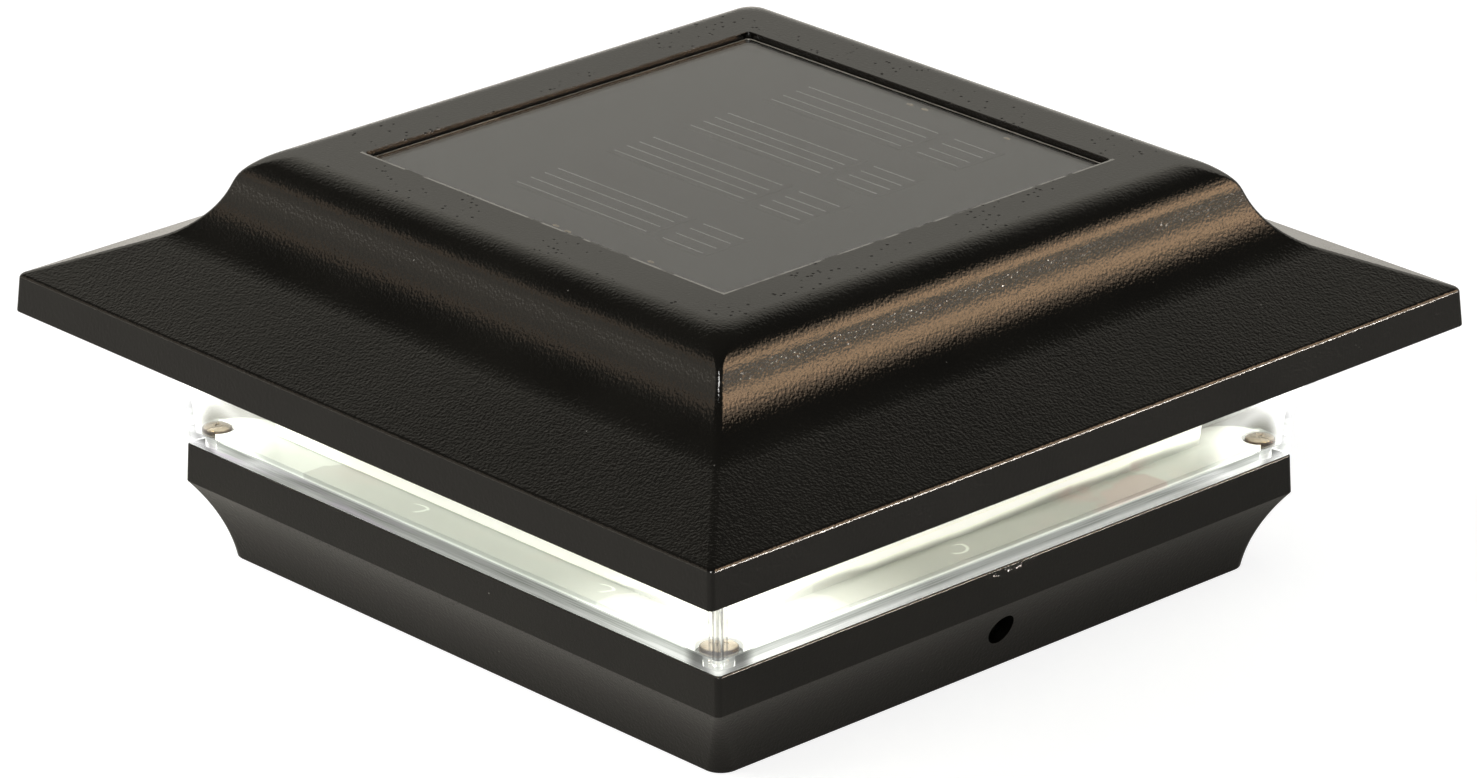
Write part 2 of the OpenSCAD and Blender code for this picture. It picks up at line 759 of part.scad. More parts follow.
module battery_plates() {
  plate_w = 11;
  color(steel) for (s = [-1, 1])
    box([contact_t, plate_w, plate_w], [s * (bay_l - contact_t) / 2, bay_y + s * cell_pitch / 2],
      cell_mid_z - plate_w / 2);
}

module battery_door() {
  rib_x = cell_l * 0.3;
  rib_w = 1.2;
  rib_z = floor_z + bite;
  color(white) difference() {
    union() {
      door_shape(0, floor_z, door_t);
      for (x = [-rib_x, rib_x]) for (s = [-1, 1])
        box([rib_w, cell_d / 2, cell_low_z - running_fit - rib_z], [x, bay_y + s * cell_pitch / 2], rib_z);
    }
    at_door_screws() translate([0, 0, floor_z - through])
      cylinder(d = small_screw_d + 2 * screw_fit, h = door_t + 2 * through);
  }
}

module door_seal() {
  outer_gap = 1;
  inner_gap = 5;
  squeeze = 0.1;
  z = floor_z + door_t;
  color(rubber) difference() {
    box([door_l - outer_gap, door_w - outer_gap, door_seal_t - squeeze], [0, bay_y], z);
    box([door_l - inner_gap, door_w - inner_gap, door_seal_t + 2 * through], [0, bay_y], z - through);
  }
}

module door_screws() {
  color(steel) at_door_screws() translate([0, 0, floor_z]) mirror([0, 0, 1])
    pan_screw(small_screw_d, small_head_d, small_head_h, floor_t + door_boss_h - 2 * through);
}

module switch_body() {
  inside = [switch_travel + knob_head.x + 2 * running_fit, knob_head.y + 2 * running_fit,
    knob_head.z + 3 * running_fit];
  color("#4a4a4a") difference() {
    union() {
      box(switch_case, [0, switch_y], base_h);
      box([switch_ear_l, switch_case.y, switch_ear_t], [0, switch_y], base_h);
    }
    box([inside.x, inside.y, inside.z + through], [0, switch_y], base_h - through);
    at_switch_screws() translate([0, 0, base_h - through])
      cylinder(d = small_screw_d + 2 * screw_fit, h = switch_ear_t + 2 * through);
  }
}

module switch_knob() {
  ridge = 0.4;
  color("#111111") difference() {
    union() {
      box(knob_head, [knob_rest_x, switch_y], base_h + running_fit);
      box([stem_w, stem_w, floor_t + stem_proud + running_fit + bite], [knob_rest_x, switch_y],
        floor_z - stem_proud);
    }
    for (s = [-1:1]) box([ridge, stem_w + 2 * through, ridge + through],
      [knob_rest_x + s * stem_w / 4, switch_y], floor_z - stem_proud - through);
  }
}

module switch_screws() {
  color(steel) at_switch_screws() translate([0, 0, base_h + switch_ear_t])
    pan_screw(small_screw_d, small_head_d, small_head_h, switch_ear_t + floor_t - 1.5);
}

module control_board() {
  color(green_board) difference() {
    box([board_l, board_w, board_t], [0, board_y], board_z);
    at_standoffs() translate([0, 0, board_z - through])
      cylinder(d = small_screw_d + 2 * screw_fit, h = board_t + 2 * through);
  }
}

module board_screws() {
  color(steel) at_standoffs() translate([0, 0, board_top_z])
    pan_screw(small_screw_d, small_head_d, small_head_h, board_t + board_screw_bite);
}

// Middle of each connector on the control board, and the height of its upper face
connector_size = [8, 6, 7];
connector_z = board_top_z + connector_size.z;
panel_plug = [-0.34 * board_l, board_y - 0.22 * board_w];
battery_plug = [0.34 * board_l, panel_plug.y];
led_plug_x = 0.22 * board_l;
led_plug_y = board_y + 0.3 * board_w;
lead_gap = 1.6 * lead_d;

// Parts on the control board: length, width and height, or diameter and height
chip_size = [6, 5, 1.6];
small_part_size = [1.6, 0.8, 0.6];
coil_size = [8, 5];
capacitor_size = [6.3, 8];

// Leads: the straight rise out of a connector, the place under the panel and the inset over the holder
lead_rise = 2;
lead_slack = 12;
lead_end_x = -8;
lead_bend = [-14, 8, 22];
lead_inset = 6;

// A chip with the small parts in a row beside it, a coil, two capacitors and the connectors
module board_components() {
  side_x = board_l / 6;
  color("#e8e4d8") {
    box(connector_size, panel_plug, board_top_z);
    box(connector_size, battery_plug, board_top_z);
    for (x = [-led_plug_x, led_plug_x]) box(connector_size, [x, led_plug_y], board_top_z);
  }
  color("#15171a") {
    box(chip_size, [0, board_y], board_top_z);
    for (i = [-2:2]) box(small_part_size, [i * chip_size.x / 2, board_y - board_w / 6], board_top_z);
    translate([side_x, board_y, board_top_z]) cylinder(d = coil_size[0], h = coil_size[1]);
  }
  color("#2b3a6a") for (s = [-0.75, 0.75])
    translate([-side_x, board_y + s * capacitor_size[0], board_top_z])
      cylinder(d = capacitor_size[0], h = capacitor_size[1]);
}

module panel_leads() {
  end = [lead_end_x, 0];
  for (s = [-1, 1]) color(s < 0 ? "#1a1a1a" : "#a02020") wire(lead_path([
    [panel_plug.x + s * lead_gap, panel_plug.y, connector_z],
    [panel_plug.x + s * lead_gap, panel_plug.y, connector_z + lead_rise],
    [panel_plug.x + s * lead_gap, panel_plug.y, connector_z + lead_slack],
    [lead_bend.x + s * lead_gap, lead_bend.y, panel_board_z - lead_bend.z],
    [end.x + s * lead_gap, end.y, panel_board_z - lead_slack],
    [end.x + s * lead_gap, end.y, panel_board_z - lead_rise],
    [end.x + s * lead_gap, end.y, panel_board_z]], 5), lead_d, [0, 1, 0]);
}

module battery_leads() {
  start_y = bay_y + holder_w / 2 - lead_inset;
  for (s = [-1, 1]) color(s < 0 ? "#1a1a1a" : "#a02020")
    let (x = battery_plug.x + s * lead_gap)
    wire(lead_path([
      [x, start_y, holder_top_z],
      [x, start_y, holder_top_z + lead_rise],
      [x, start_y + 1, holder_top_z + 8],
      [x, (start_y + battery_plug.y) / 2, holder_top_z + 13],
      [x, battery_plug.y - 1, connector_z + 8],
      [x, battery_plug.y, connector_z + lead_rise],
      [x, battery_plug.y, connector_z]], 5), lead_d, [1, 0, 0]);
}

module led_leads() {
  for (x = [-1, 1]) for (y = [-1, 1])
    let (from = [x * (led_plug_x + y * lead_gap), led_plug_y])
    let (to = [x * (led_half + led_screw_off), y * (led_half - led_screw_off)])
    let (over = [x * housing_half, y * (tower_half - 14)])
    color("#ded8c8") wire(lead_path([
      [from.x, from.y, connector_z],
      [from.x, from.y, connector_z + lead_rise],
      [from.x, from.y, connector_z + 9],
      [(from.x + over.x) / 2, (from.y + over.y) / 2, housing_top_z],
      [over.x, over.y, housing_top_z + 4],
      [(over.x + to.x) / 2, (over.y + to.y) / 2, housing_top_z],
      [to.x, to.y, skirt_z + 4],
      [to.x, to.y, skirt_z + 1],
      [to.x, to.y, ceiling_z]], 4), lead_d, [0, 1, 0]);
}

base_casting();
lens_gasket();
lens_tray();
lens_screws();
light_reflector();
rim_gasket();
ceiling_reflector();
led_boards();
led_lamps();
led_screws();
cap_casting();
cap_screws();
panel_seal();
panel_board();
solar_cells();
panel_cover();
electronics_housing();
battery_holder();
battery_cells();
battery_springs();
battery_plates();
battery_door();
door_seal();
door_screws();
switch_body();
switch_knob();
switch_screws();
control_board();
board_screws();
board_components();
panel_leads();
battery_leads();
led_leads();
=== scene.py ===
from math import acos, atan2, cos, hypot, pi, radians, sin, tan

import bmesh
import bpy
from bpy.props import FloatProperty, FloatVectorProperty, PointerProperty
from mathutils import Matrix, Vector


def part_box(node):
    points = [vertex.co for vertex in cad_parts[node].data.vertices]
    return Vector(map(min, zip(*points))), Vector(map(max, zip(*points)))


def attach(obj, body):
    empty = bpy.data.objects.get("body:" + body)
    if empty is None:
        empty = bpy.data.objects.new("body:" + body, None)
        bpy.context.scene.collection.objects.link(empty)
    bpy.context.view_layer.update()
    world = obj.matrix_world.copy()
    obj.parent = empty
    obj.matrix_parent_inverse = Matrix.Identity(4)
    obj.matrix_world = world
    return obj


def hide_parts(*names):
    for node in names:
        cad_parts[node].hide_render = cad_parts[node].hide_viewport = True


bl_info = {
    "name": "Deck Post Cap Light",
    "version": (1, 0, 0),
    "blender": (4, 5, 0),
    "location": "View3D > Sidebar > Cap Light",
    "description": "Dresses the packed cap light: coated castings, clear lens, lamp glow and solar panel",
    "category": "Object",
}

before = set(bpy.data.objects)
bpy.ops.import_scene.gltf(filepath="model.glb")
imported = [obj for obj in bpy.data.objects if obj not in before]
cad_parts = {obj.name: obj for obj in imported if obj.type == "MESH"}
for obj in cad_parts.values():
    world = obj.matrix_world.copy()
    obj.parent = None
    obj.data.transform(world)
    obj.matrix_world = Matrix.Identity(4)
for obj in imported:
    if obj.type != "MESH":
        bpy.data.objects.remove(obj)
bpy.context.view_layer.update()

MM = 0.001
BODY = "light_body"
WHITE = (1.0, 1.0, 1.0)

# Faces that meet at more than this keep a sharp edge
SHARP = radians(32)

# Distance of the studio's lamps and radius of its floor, in metres
LAMP_DISTANCE = 4.0
FLOOR_RADIUS = 30.0


def low(node):
    """Lowest corner of a packed node."""
    return Vector(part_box(node)[0])


def high(node):
    """Highest corner of a packed node."""
    return Vector(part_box(node)[1])


# Levels and half widths that the packed solids give
EAVE_HALF = high("cap_casting").x
EAVE_Z = low("cap_casting").z
TOP_Z = high("cap_casting").z
BASE_Z = high("base_casting").z
BAND_HALF = high("base_casting").x
RIM_HALF = high("lens_tray").x
RIM_TOP_Z = high("lens_tray").z
FLOOR_Z = low("electronics_housing").z
SEAL_Z = low("panel_seal").z
COVER_Z = low("panel_cover").z
COVER_TOP_Z = high("panel_cover").z
COVER_HALF = high("panel_cover").x
CELL_TOP_Z = high("solar_cells").z
LENS_FLOOR_Z = low("light_reflector").z
CEILING_Z = low("ceiling_reflector").z
LAMP_Z = low("led_boards").z


def length(name, about, millimetres):
    return FloatProperty(
        name=name, description=about, default=millimetres * MM, min=0.0, unit="LENGTH", precision=5
    )


def place(name, about, millimetres):
    return FloatProperty(name=name, description=about, default=millimetres * MM, unit="LENGTH", precision=5)


def angle(name, about, degrees):
    return FloatProperty(name=name, description=about, default=radians(degrees), subtype="ANGLE")


def colour(name, about, default):
    return FloatVectorProperty(
        name=name, description=about, default=default, size=3, min=0.0, max=1.0, subtype="COLOR"
    )


def share(name, about, default):
    return FloatProperty(name=name, description=about, default=default, min=0.0, max=1.0, subtype="FACTOR")


def number(name, about, default):
    return FloatProperty(name=name, description=about, default=default, min=0.0)


class CapShape(bpy.types.PropertyGroup):
    """Half section of the cast cap"""

    eave_height: length("Eave height", "Height of the eave's upright band", 8.0)
    eave_draft: length("Eave draft", "How far the band leans in on each side", 0.6)
    arris: length("Arris radius", "Radius of the eave's upper edge", 1.1)
    cove_half: length("Cove half width", "Half width where the skirt would meet the steep wall", 75.1)
    cove_rise: length("Cove rise", "Height of that line above the eave's upper edge", 11.2)
    cove_radius: length("Cove radius", "Radius of the cove in that line", 20.0)
    shoulder_half: length("Shoulder half width", "Half width where the wall would meet the flat top", 69.0)
    shoulder_radius: length("Shoulder radius", "Radius of the shoulder in that line", 9.8)
    recess_half: length("Recess half width", "Half width of the panel's recess", 52.5)
    recess_corner: length("Recess corner", "Corner radius of the panel's recess", 1.0)
    wall: length("Wall", "Thickness of the casting", 2.8)
    skirt_wall: length("Skirt wall", "Thickness of the skirt round the lens", 3.0)
    step: length("Step", "Width of the step that the ceiling plate lies against", 3.0)
    ceiling: length("Ceiling", "Thickness of the ceiling plate under that step", 1.6)
    shelf: length("Shelf", "Width of the shelf under the panel's edge", 8.5)
    ridge_corner: length("Ridge corner", "Corner radius at the eave and along the mitred ridges", 1.2)
    top_corner: length("Top corner", "Corner radius at the flat top", 4.2)
    inner_corner: length("Inner corner", "Corner radius inside the casting", 1.5)
    boss_radius: length("Boss radius", "Radius of the bosses for the cap screws", 4.5)
    boss_hole: length("Boss hole", "Depth of the holes for the cap screws", 9.0)
    recess_edge: length("Recess edge", "Radius of the recess's upper edge", 0.12)
    edge: length("Edge radius", "Radius of the outer edges under the coat", 0.35)
    inner_edge: length("Inner edge radius", "Radius of the inner edges under the coat", 0.3)


class BaseShape(bpy.types.PropertyGroup):
    """Half section of the cast base"""

    foot_half: length("Foot half width", "Half width of the foot", 73.2)
    cove_height: length("Cove height", "Height of the cove from the foot to the band", 16.3)
    cove_radius: length("Cove radius", "Radius of the base's cove", 34.0)
    band_draft: length("Band draft", "How far the band leans in on each side", 0.3)
    wall: length("Wall", "Thickness of the casting", 3.2)
    foot_corner: length("Foot corner", "Corner radius at the foot", 3.8)
    band_corner: length("Band corner", "Corner radius at the band", 1.2)
    post_half: length("Post half width", "Half the opening between the guide ribs", 65.5)
    stop_half: length("Stop half width", "Half the opening inside the post stop", 61.2)
    stop_thickness: length("Stop thickness", "Thickness of the post stop", 2.0)
    ledge_half: length("Ledge half width", "Half width of the housing's seat", 64.0)
    ledge_corner: length("Ledge corner", "Corner radius of the housing's seat", 2.0)
    rib_offset: length("Rib offset", "Distance of a guide rib from the middle of its side", 32.0)
    rib_thickness: length("Rib thickness", "Thickness of the guide ribs", 2.5)
    hole_radius: length("Side hole radius", "Radius of the side screw holes", 3.25)
    hole_z: length("Side hole height", "Height of the side screw holes", 9.0)
    boss_radius: length("Boss radius", "Radius of the boss round a side hole", 6.5)
    screw_boss_radius: length("Screw boss radius", "Radius of the bosses for the corner screws", 4.0)
    screw_boss_z: length("Screw boss height", "Lower end of the bosses for the corner screws", 14.0)
    edge: length("Edge radius", "Radius of the outer edges under the coat", 0.4)
    inner_edge: length("Inner edge radius", "Radius of the inner edges under the coat", 0.3)
    bite: length("Bite", "How far a rib or a boss runs into what carries it", 1.0)


class LensShape(bpy.types.PropertyGroup):
    """Half section of the clear lens"""

    foot_half: length("Foot half width", "Half width of the lens's foot", 78.9)
    knee_rise: length("Knee rise", "Height of the knee above the base", 13.5)
    knee_out: length("Knee out", "How far the knee stands out from the foot", 0.9)
    knee_radius: length("Knee radius", "Radius of the knee", 13.0)
    flare_half: length("Flare half width", "Half width where the flare meets the rim", 95.9)
    rim_thickness: length("Rim thickness", "Thickness of the flat rim", 2.0)
    wall: length("Wall", "Thickness of the lens", 2.0)
    floor_half: length("Floor opening", "Half width of the opening in the lens's floor", 61.2)
    floor_corner: length("Floor corner", "Corner radius of that opening", 2.0)
    corner: length("Corner", "Corner radius outside", 1.0)
    inner_corner: length("Inner corner", "Corner radius inside", 0.8)
    edge: length("Edge radius", "Radius of the moulded edges", 0.25)
    fillet: length("Fillet", "Radius where the wall meets the floor inside", 0.5)
    screw_half: length("Screw place", "Distance of the corner screws from the middle", 73.9)
    screw_hole: length("Screw hole", "Radius of the holes for the corner screws", 1.55)


class ScrewShape(bpy.types.PropertyGroup):
    """Pan-head screw with a cross recess"""

    head_radius: length("Head radius", "Radius of the head", 3.1)
    head_height: length("Head height", "Height of the head", 2.0)
    crown: length("Crown", "Height of the head's domed part", 0.9)
    edge: length("Edge", "Rounding under the head", 0.25)
    shaft_radius: length("Shaft radius", "Radius of the thread", 1.5)
    shaft_length: length("Shaft length", "Length under the head", 9.0)
    pitch: length("Pitch", "Pitch of the thread", 0.8)
    thread_depth: length("Thread depth", "Depth of the thread", 0.28)
    cross_reach: length("Cross reach", "Half length of the cross recess", 1.7)
    cross_width: length("Cross width", "Width of the cross recess", 0.5)
    cross_floor: length("Cross floor", "Height of the recess's floor above the seat", 0.7)


class PanelLook(bpy.types.PropertyGroup):
    """Laminate, printed lines and solder marks of the solar panel"""

    corner: length("Corner", "Corner radius of the laminate", 1.0)
    edge: length("Edge", "Width of the laminate's eased edges", 0.2)
    gap: length("Gap", "Gap under the laminate", 0.05)
    rim: length("Rim", "Width of the laminate's cut edge", 0.28)
    long_from: place("Long from", "Start of the long lines", -22.4)
    long_to: place("Long to", "End of the long lines", 15.4)
    short_from: place("Short from", "Start of the short lines", 20.1)
    short_to: place("Short to", "End of the short lines", 31.5)
    line_width: length("Line width", "Width of a printed line", 0.34)
    line_height: length("Line height", "Height of a printed line", 0.08)
    mark_length: length("Mark length", "Length of a solder mark", 1.9)
    mark_width: length("Mark width", "Width of a solder mark", 0.9)
    mark_height: length("Mark height", "Height of a solder mark", 0.2)
    silver: colour("Silver", "Colour of the printed lines", (0.96, 0.98, 0.94))
    cut_edge: colour("Cut edge", "Colour of the laminate's cut edge", (0.55, 0.52, 0.45))
    solder: colour("Solder", "Colour of the solder marks", (1.0, 0.76, 0.42))


class Finish(bpy.types.PropertyGroup):
    """Colours and glosses of the finishes"""

    coat: colour("Coat", "Colour of the powder coat", (0.0062, 0.0056, 0.0044))
    coat_roughness: share("Coat roughness", "Roughness of the powder coat", 0.14)
    peel_size: length("Orange peel size", "Size of the coat's fine lumps", 0.62)
    peel_depth: length("Orange peel depth", "Depth of the coat's fine lumps", 0.075)
    # Colour of the specks, nibs and chips, and of the painted highlight along the recess's front edges
    dust_and_highlight: colour("Dust", "Colour of the specks in the coat", (0.3, 0.29, 0.26))
    lens: colour("Lens", "Tint of the clear lens", (0.965, 0.985, 0.965))
    board: colour("Panel board", "Colour of the panel's board", (0.03, 0.029, 0.026))
    cell: colour("Cell", "Colour of the solar cells", (0.028, 0.0275, 0.025))
    laminate: colour("Laminate", "Tint of the clear laminate", (0.38, 0.378, 0.366))
    # The corner screws' lit colour and their painted shade; the nickel finish paints them by height
    nickel: colour("Nickel", "Colour of the corner screws", (0.4, 0.34, 0.27))
    shaded_bronze: colour("Bronze", "Colour of the corner screws where the plate is thin", (0.06, 0.038, 0.024))
    steel: colour("Steel", "Colour of the inner screws", (0.55, 0.55, 0.54))
    white: colour("White plastic", "Colour of the housing", (0.72, 0.72, 0.69))
    black: colour("Black plastic", "Colour of the switch and the holder", (0.02, 0.02, 0.021))
    rubber: colour("Rubber", "Colour of the seals", (0.018, 0.018, 0.018))
    spring: colour("Spring steel", "Colour of the battery contacts", (0.6, 0.58, 0.54))
    sleeve: colour("Cell sleeve", "Colour of the battery cells", (0.06, 0.22, 0.07))
    component: colour("Component", "Colour of the parts on the circuit board", (0.3, 0.3, 0.27))
    lead: colour("Lead", "Colour of the panel's and the battery's leads", (0.28, 0.02, 0.02))
    pale_lead: colour("Pale lead", "Colour of the lamps' leads", (0.7, 0.68, 0.6))
    lamp_board: colour("Lamp board", "Colour of the lamps' boards", (0.85, 0.85, 0.82))
    mask: colour("Solder mask", "Colour of the circuit board", (0.02, 0.16, 0.06))
    dark_mask: colour("Dark solder mask", "Second colour of the circuit board", (0.02, 0.13, 0.05))
    track: colour("Track", "Colour of the tracks under the solder mask", (0.04, 0.26, 0.1))


class Glow(bpy.types.PropertyGroup):
    """How the lamps light the room behind the lens, as glow painted on the reflectors and the lens"""

    middle: number("Middle", "Brightness half way along a side", 0.02)
    corner: number("Corner", "Extra brightness of the floor at a corner", 0.45)
    end: number("End", "Extra brightness of the floor near the ends of a side", 0.22)
    wall: number("Wall", "Extra brightness of the inner wall", 0.58)
    front_reach: length("Front reach", "How far the front corner's light reaches", 54.0)
    reach: length("Reach", "How far the other corners' light reaches", 30.0)
    pool: length("Pool", "Distance from the middle of a side to the brighter end of its floor", 43.5)
    foot: number("Foot", "Brightness of the lens's foot", 0.68)
    foot_height: length("Foot height", "Height of the bright lines in the lens's foot", 3.2)
    painted_corner_glow: number("Haze", "Brightness of the lens's wall at a corner", 0.4)
    line: colour("Line", "Colour of the bright lines in the lens's foot", (0.98, 1.0, 0.95))
    violet: colour("Violet", "Second colour of those lines", (0.86, 0.79, 0.88))
    # Tint painted on the lens's corner posts as painted shade
    post: colour("Post", "Tint of the solid post in the lens's corners", (0.12, 0.12, 0.11))
    warm: colour("Warm", "Colour of the bright inner wall", (1.0, 0.985, 0.9))
    cool: colour("Cool", "Colour of the floor away from the lamps", (0.87, 0.93, 0.83))
    near: colour("Near", "Colour of the floor near a lamp", (1.0, 1.0, 0.97))
    dull: colour("Dull", "Colour of the smudges on the reflector", (0.46, 0.38, 0.35))
    # Base colours of the reflector; near a lamp its floor is painted in the wall's colour as painted light
    plastic: colour("Reflector", "Colour of the reflector's wall", (0.8, 0.8, 0.76))
    floor: colour("Reflector floor", "Colour of the reflector's floor", (0.36, 0.375, 0.34))
    phosphor: colour("Phosphor", "Colour inside a lamp", (1.0, 0.85, 0.5))
    lamp: number("Lamp", "Brightness of the lamps", 6.0)
    lamp_radius: length("Lamp radius", "Radius of a lamp", 2.5)


class Studio(bpy.types.PropertyGroup):
    """Camera and lamps"""

    azimuth: angle("Azimuth", "Direction of the camera", 46.95)
    elevation: angle("Elevation", "Height angle of the camera", 22.29)
    roll: angle("Roll", "Tilt of the picture", -0.15)
    distance: length("Distance", "From the eave's middle to the camera", 1466.5)
    focal_length: FloatProperty(
        name="Focal length", description="Focal length on a 36 mm sensor", default=178.44,
        min=1.0, unit="CAMERA",
    )
    aim_right: place("Aim right", "How far right the camera aims", 0.29)
    aim_down: place("Aim down", "How far under the eave the camera aims", 21.63)
    ambient: number("Ambient", "Even light from all round", 0.36)
    room: colour("Room", "Tint of the surround in a mirror", (1.0, 0.96, 0.86))
    surround: number("Surround", "Brightness of the surround in a mirror", 0.48)
    ceiling: number("Ceiling", "Brightness of the room's ceiling in a mirror", 0.06)
    floor: colour("Floor", "Colour of the floor", (0.84, 0.84, 0.84))
    floor_light: colour("Light floor", "Second colour of the floor", (0.86, 0.86, 0.86))
    floor_mirrored: colour("Mirrored floor", "Colour of the floor in a mirror", (0.62, 0.6, 0.55))
    floor_tint: colour("Floor tint", "Tint of the floor's own light in a mirror", (1.0, 0.95, 0.86))


GROUPS = {
    "cap_light_cap": CapShape,
    "cap_light_base": BaseShape,
    "cap_light_lens": LensShape,
    "cap_light_screw": ScrewShape,
    "cap_light_panel": PanelLook,
    "cap_light_finish": Finish,
    "cap_light_glow": Glow,
    "cap_light_studio": Studio,
}


# Lamps: name, azimuth, elevation, width and height in degrees, radiance, tint, and whether they light the
# matt surfaces or show in the gloss
LAMPS = (
    ("sill_near", 36, 0.6, 20, 2.6, 85.0, (1.0, 0.94, 0.88), "gloss"),
    ("sill_right", 44, 1.5, 36, 5, 17.0, (1.0, 0.84, 0.68), "gloss"),
    ("wall_right", 46, 10.5, 34, 9, 0.66, (1.0, 0.78, 0.58), "gloss"),
    ("window_low", 44, 17, 28, 5, 2.2, (1.0, 0.7, 0.45), "gloss"),
    ("window_middle", 44, 22.5, 28, 6, 6.6, (1.0, 0.64, 0.37), "gloss"),
    ("window_high", 44, 28, 28, 5, 3.8, (1.0, 0.66, 0.4), "gloss"),
    ("window_top", 44, 34, 28, 7, 1.7, (1.0, 0.75, 0.52), "gloss"),
    ("sill_left", -133, 3, 36, 6, 1.0, (1.0, 0.9, 0.76), "gloss"),
    ("wall_left", -133, 12, 36, 9, 0.16, (1.0, 0.7, 0.42), "gloss"),
    ("glow_left", -138, 25, 30, 6, 0.46, (1.0, 0.62, 0.34), "gloss"),
    ("back_edge", 135, 22, 68, 8, 0.16, (1.0, 0.95, 0.82), "gloss"),
    ("back_low", 135, 33.5, 68, 15, 0.56, (1.0, 0.95, 0.82), "gloss"),
    ("back_high", 135, 45.5, 68, 9, 0.36, (1.0, 0.95, 0.82), "gloss"),
    ("window_front", -49, 30, 14, 28, 24.0, (1.0, 0.98, 0.95), "gloss"),
    ("sky_left", -125, 46, 40, 24, 5.6, (1.0, 0.97, 0.93), "matt"),
)

# Rows of the printed lines and places of the solder marks on the panel, in millimetres from its middle
LINE_ROWS = (
    -38.5, -34.9, -31.2, -27.7, -12.6, -9.1, -5.8, -2.0, 8.2, 11.7, 14.9, 18.5, 30.5, 33.8, 37.5, 41.0,
)
SOLDER_MARKS = ((0.5, -48.7), (4.5, -49.2), (27.5, -48.4), (-1.2, 49.3), (3.0, 49.4), (26.4, 49.5))

# Places of the dried drops on the reflector's floor, in millimetres from the middle
DRIED_DROPS = ((-15, -71.5), (39, -71), (71.5, -10))

# Middle of the clear spot beside each corner screw in the lens's wall, where the painted corner glow is left
# out, in millimetres: from the middle of its side, and its height
CLEAR_SPOT = (68.3, 29)

# Turn of each corner screw's cross recess, in degrees, in the order of the corners
SCREW_TURNS = (5, 65, 20, 40)


def settings(name):
    return getattr(bpy.context.scene, "cap_light_" + name)


# Sections of half the object, closed: a point is (half width, height, rounding there, corner radius in
# plan), and the corner radius may be a function of the height


def unit(x, y):
    size = hypot(x, y)
    return (x / size, y / size)


def arc(centre, radius, start, end, steps):
    """Points of the arc about a centre, the short way round from start to end."""
    first = atan2(start[1] - centre[1], start[0] - centre[0])
    turn = atan2(end[1] - centre[1], end[0] - centre[0]) - first
    turn = (turn + pi) % (2 * pi) - pi
    angles = [first + turn * i / steps for i in range(steps + 1)]
    return [(centre[0] + radius * cos(a), centre[1] + radius * sin(a)) for a in angles]


def rounded(before, point, after, radius, steps):
    """The arc that rounds a point between its two neighbours."""
    u = unit(before[0] - point[0], before[1] - point[1])
    v = unit(after[0] - point[0], after[1] - point[1])
    half = acos(max(-1.0, min(1.0, u[0] * v[0] + u[1] * v[1]))) / 2
    middle = unit(u[0] + v[0], u[1] + v[1])
    reach = radius / tan(half)
    centre = (point[0] + middle[0] * radius / sin(half), point[1] + middle[1] * radius / sin(half))
    start = (point[0] + u[0] * reach, point[1] + u[1] * reach)
    end = (point[0] + v[0] * reach, point[1] + v[1] * reach)
    return arc(centre, radius, start, end, steps)


def drawn(section, steps):
    """A closed section with its rounded points drawn out: [(half width, height, corner radius)]."""
    rows = []
    for i, (half, z, radius, corner) in enumerate(section):
        points = [(half, z)]
        if radius:
            after = section[(i + 1) % len(section)]
            points = rounded(section[i - 1][:2], (half, z), after[:2], radius, steps)
        rows += [(x, y, corner(y) if callable(corner) else corner) for x, y in points]
    return rows


def inset(outline, wall):
    """An open outline [(half width, height, rounding)] moved inwards by a wall."""
    moved = []
    last = len(outline) - 1
    for i, (x, z, radius) in enumerate(outline):
        a, b = outline[max(i, 1) - 1], outline[max(i, 1)]
        c, d = outline[min(i, last - 1)], outline[min(i, last - 1) + 1]
        u = unit(b[0] - a[0], b[1] - a[1])
        v = unit(d[0] - c[0], d[1] - c[1])
        along = 1 + u[0] * v[0] + u[1] * v[1]
        side = 1 if u[0] * v[1] - u[1] * v[0] > 0 else -1
        moved.append(
            (
                x - wall * (u[1] + v[1]) / along,
                z + wall * (u[0] + v[0]) / along,
                max(radius - wall * side, 0.2 * wall) if radius else 0,
            )
        )
    return moved


def at_height(a, b, z):
    """Half width where the line through two points reaches a height."""
    return a[0] + (b[0] - a[0]) * (z - a[1]) / (b[1] - a[1])


def at_half(a, b, half):
    """Height where the line through two points reaches a half width."""
    return a[1] + (b[1] - a[1]) * (half - a[0]) / (b[0] - a[0])


def eased(start, end, t):
    """A smooth change from start to end while t runs from 0 to 1."""
    t = max(0.0, min(1.0, t))
    return start + (end - start) * t * t * (3 - 2 * t)


# Meshes

CORNERS = ((1, 1), (-1, 1), (-1, -1), (1, -1))


def square_ring(half, corner, steps, side_steps=3):
    """One turn round a square with rounded corners."""
    middle = half - corner
    angles = [[pi / 2 * (quarter + i / steps) for i in range(steps + 1)] for quarter in range(4)]
    turns = [
        [(x * middle + corner * cos(a), y * middle + corner * sin(a)) for a in angles[quarter]]
        for quarter, (x, y) in enumerate(CORNERS)
    ]
    ring = []
    for turn, following in zip(turns, turns[1:] + turns[:1]):
        start, end = Vector(turn[-1]), Vector(following[0])
        ring += turn + [start.lerp(end, i / side_steps) for i in range(1, side_steps)]
    return ring


def square_loft(sections, steps=8, closed=True):
    """A band through square sections, closed or with end faces: [(half width, height, corner radius)]."""
    mesh = bmesh.new()
    rings = [
        [mesh.verts.new((x, y, z)) for x, y in square_ring(half, corner, steps)]
        for half, z, corner in sections
    ]
    if not closed:
        mesh.faces.new(rings[0][::-1])
        mesh.faces.new(rings[-1])
    for ring, above in zip(rings, rings[1:] + (rings[:1] if closed else [])):
        join(mesh, ring, above)
    return mesh


